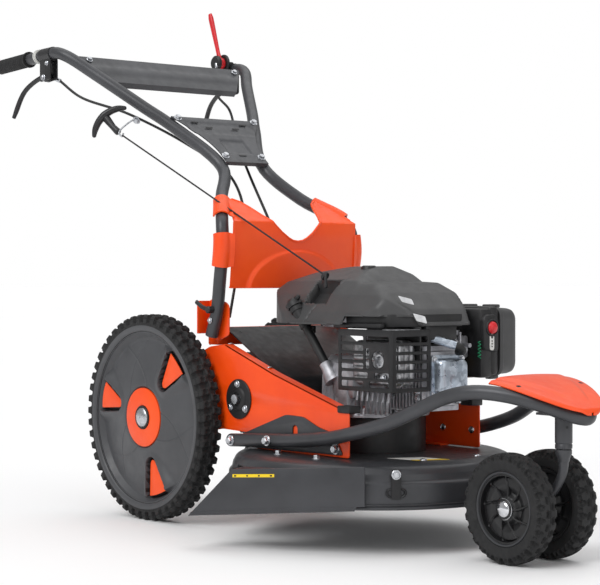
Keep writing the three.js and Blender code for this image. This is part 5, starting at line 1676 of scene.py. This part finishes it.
def handle_guard():
    """The orange shell in front of the lower tubes: a leaning face with a notch in its top edge,
    and on each side two tabs that wrap round the tube with a window between them."""
    w = np.linspace(-1, 1, 121)
    v = np.linspace(0, 1, 71)[:, None]
    z = GUARD_FOOT + (GUARD_CREST - GUARD_FOOT) * v + 0 * w
    for _ in range(6):
        y = w * np.interp(z, *GUARD_EDGE)
        z = GUARD_FOOT + (np.interp(np.abs(y), *GUARD_TOP) - GUARD_FOOT) * v
    face = sheet(np.stack([guard_x(y, z), y, z], -1), GUARD_WALL)
    parts = [face]
    for low, high in GUARD_WRAPS:
        levels = np.linspace(low, high, 14)
        line = leg_line(levels)
        along = unit(np.gradient(line, axis=0))
        front = unit(np.array([1.0, 0, 0]) - along * along[:, :1])
        outer = np.cross(along, front)
        outer *= -np.sign(outer[:, 1:2])
        turn = np.radians(np.linspace(-12, 128, 22))
        wrap = (line[:, None] + WRAP_RADIUS * (np.cos(turn)[:, None] * front[:, None]
                                        + np.sin(turn)[:, None] * outer[:, None]))
        inner_y = 4 - np.interp(levels, *GUARD_EDGE)
        start = np.stack([guard_x(inner_y, levels), inner_y, levels], -1)[:, None]
        share = np.array([0.0, 0.35, 0.7])[:, None]
        strip = start + share * (wrap[:, :1] - start)
        tab = sheet(np.concatenate([strip, wrap], 1), GUARD_WALL)
        parts += [tab, mirrored(tab)]
    hem_y = np.linspace(-104, 104, 120)
    hem_z = np.interp(np.abs(hem_y), *GUARD_TOP) - 1.5
    hem = np.stack([guard_x(hem_y, hem_z) - 1.5, hem_y, hem_z], -1)
    parts.append(tube(hem, 2.6, 10, (1, 0, 0.3), dome=0.8))
    base_y = np.linspace(-154, 154, 60)
    base = np.stack([guard_x(base_y, GUARD_FOOT + 0 * base_y) - 4, base_y, 464.6 + 0 * base_y], -1)
    parts.append(tube(base, 2.2, 10, (1, 0, 0.3), dome=0.8))
    piece("guard_shell", joined(*parts), ORANGE_SHELL, "handle", "handle_guard",
          smooth=45)


BOW_RADIUS, BOW_BACK = 61, 56


def controls():
    """The throttle lever in its housing, the clamp lever, and the starter's guide and handle."""
    base, tip = np.array([-318.0, 212, 972]), np.array([-356.0, 212, 1084])
    line = base + np.linspace(0, 1, 12)[:, None] * (tip - base)
    lever = carried(circle(1.0, 20) * (7.4, 5), line, (0, 1, 0),
                    np.interp(np.linspace(0, 1, 12), [0, 0.2, 0.75, 0.9, 1],
                              [1, 0.72, 0.95, 1.0, 0.7]))
    hub = turned([(0, 205.6), (12, 205.6), (13, 207), (13, 217), (12, 218.4), (0, 218.4)],
                 (-318, 0, 968), (0, 1, 0), 40)
    piece("throttle_paddle", joined(lever, hub), RED, "throttle", "throttle_lever")
    house = [(0, 219.2), (19, 219.2), (21, 221), (21, 224), (14, 228), (0, 228)]
    parts = [turned(house, (-318, 0, 968), (0, 1, 0), 48),
             turned([(0, 196), (14, 196), (17, 199), (17, 204.8), (0, 204.8)], (-318, 0, 968),
                    (0, 1, 0), 48),
             block((-334, 219, 950), (-302, 240, 972), 3)]
    piece("throttle_housing", joined(*parts), PLASTIC, "handle")
    arm = smooth_path([(178, -185, 421), (160, -187, 426), (142, -188.4, 436)], 6)
    clamp = joined(carried(circle(1.0, 16) * (4.4, 3.4), arm, (0, 1, 0)),
                   turned([(0, -178), (7, -178), (7, -188), (5.6, -189.6), (0, -189.6)],
                          (178, 0, 421), (0, 1, 0), 28))
    piece("clamp_handle", clamp, LEVER, "clamp", "clamp_lever")
    middle = np.array([-146.0, -209, 811])
    neck = tube([(-113, -200.5, 780), (-125, -204, 790), (-143, -208.2, 808)], [7.4, 6.4, 8.4], 24,
                dome=0.6)
    swing = np.radians(np.linspace(-44, 44, 25))
    across, back = unit((0.47, 0.57, 0.67)), unit((-0.42, -0.51, 0.75))
    bow = middle - BOW_BACK * back + BOW_RADIUS * (np.cos(swing)[:, None] * back
                                                   + np.sin(swing)[:, None] * across)
    thick = np.interp(np.abs(np.linspace(-1, 1, 25)), [0, 0.7, 1], [8.2, 6.6, 4.4])
    piece("starter_handle", joined(neck, tube(bow, thick, 20, (0, 1, 0), dome=0.9)), LEVER,
          "starter",
          "starter_grip")
    wire = smooth_path([(-109, -155, 812), (-109, -176, 800), (-107, -199, 783), (-104, -204, 776),
                        (-101, -199, 770), (-103, -194, 776)], 7)
    guide = joined(tube(wire, 1.9, 10, dome=0.8),
                   hexagon_bolt((-109, -157, 806), (0.2, -0.8, -0.5), 11, 5))
    piece("rope_guide_wire", guide, ZINC, "handle", smooth=40)


ROPE_R, CABLE_R = 1.7, 2.8


def lines_to_engine():
    """The starter rope and the two control cables. Each follows the frame
    below the handle's joint and the handle above it."""
    rope = smooth_path([(414, -90, 487), (240, -126, 583), (66, -163, 680), (-100, -198, 772)], 24)
    drive = smooth_path([(-300, -223, 898), (-256, -200, 862), (-150, -150, 822), (-60, -70, 760),
                         (40, -30, 690), (86, -30, 620), (118, -60, 540), (150, -100, 470),
                         (158, -120, 405)], 14)
    throttle = smooth_path([(-312, 198, 960), (-290, 180, 900), (-200, 150, 850), (-80, 80, 770),
                            (30, 30, 690), (92, 30, 600), (120, 60, 500), (168, 60, 420),
                            (250, 40, 390)], 14)
    cord = rubber("cord fibre", srgb(16, 16, 17), srgb(44, 44, 46), 2400)
    made = [
        (piece("pull_cord", tube(rope, ROPE_R, 10), cord, None, "starter_rope"),
         (300, -110, 550), (100, -155, 660)),
        (piece("drive_control", tube(drive, CABLE_R, 12, (0, 1, 0.1)), SLEEVE, None,
               "drive_cable"), (158, -110, 420), (118, -60, 545)),
        (piece("throttle_control", tube(throttle, CABLE_R, 12, (0, 1, 0.1)), SLEEVE, None,
               "throttle_cable"), (168, 60, 420), (112, 52, 545)),
    ]
    for line, start, end in made:
        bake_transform(line)
    ends = [tube([(-300, -223, 898), (-316, -228, 905)], 4.6, 14, dome=0.6),
            tube([(-311, 198, 958), (-313, 199, 966)], 4.6, 14, dome=0.6)]
    piece("cable_ends", joined(*ends), ZINC, "handle")


for machine_side in (RIGHT, LEFT):
    handle_side(machine_side)
cross_members()
handle_guard()
controls()
lines_to_engine()
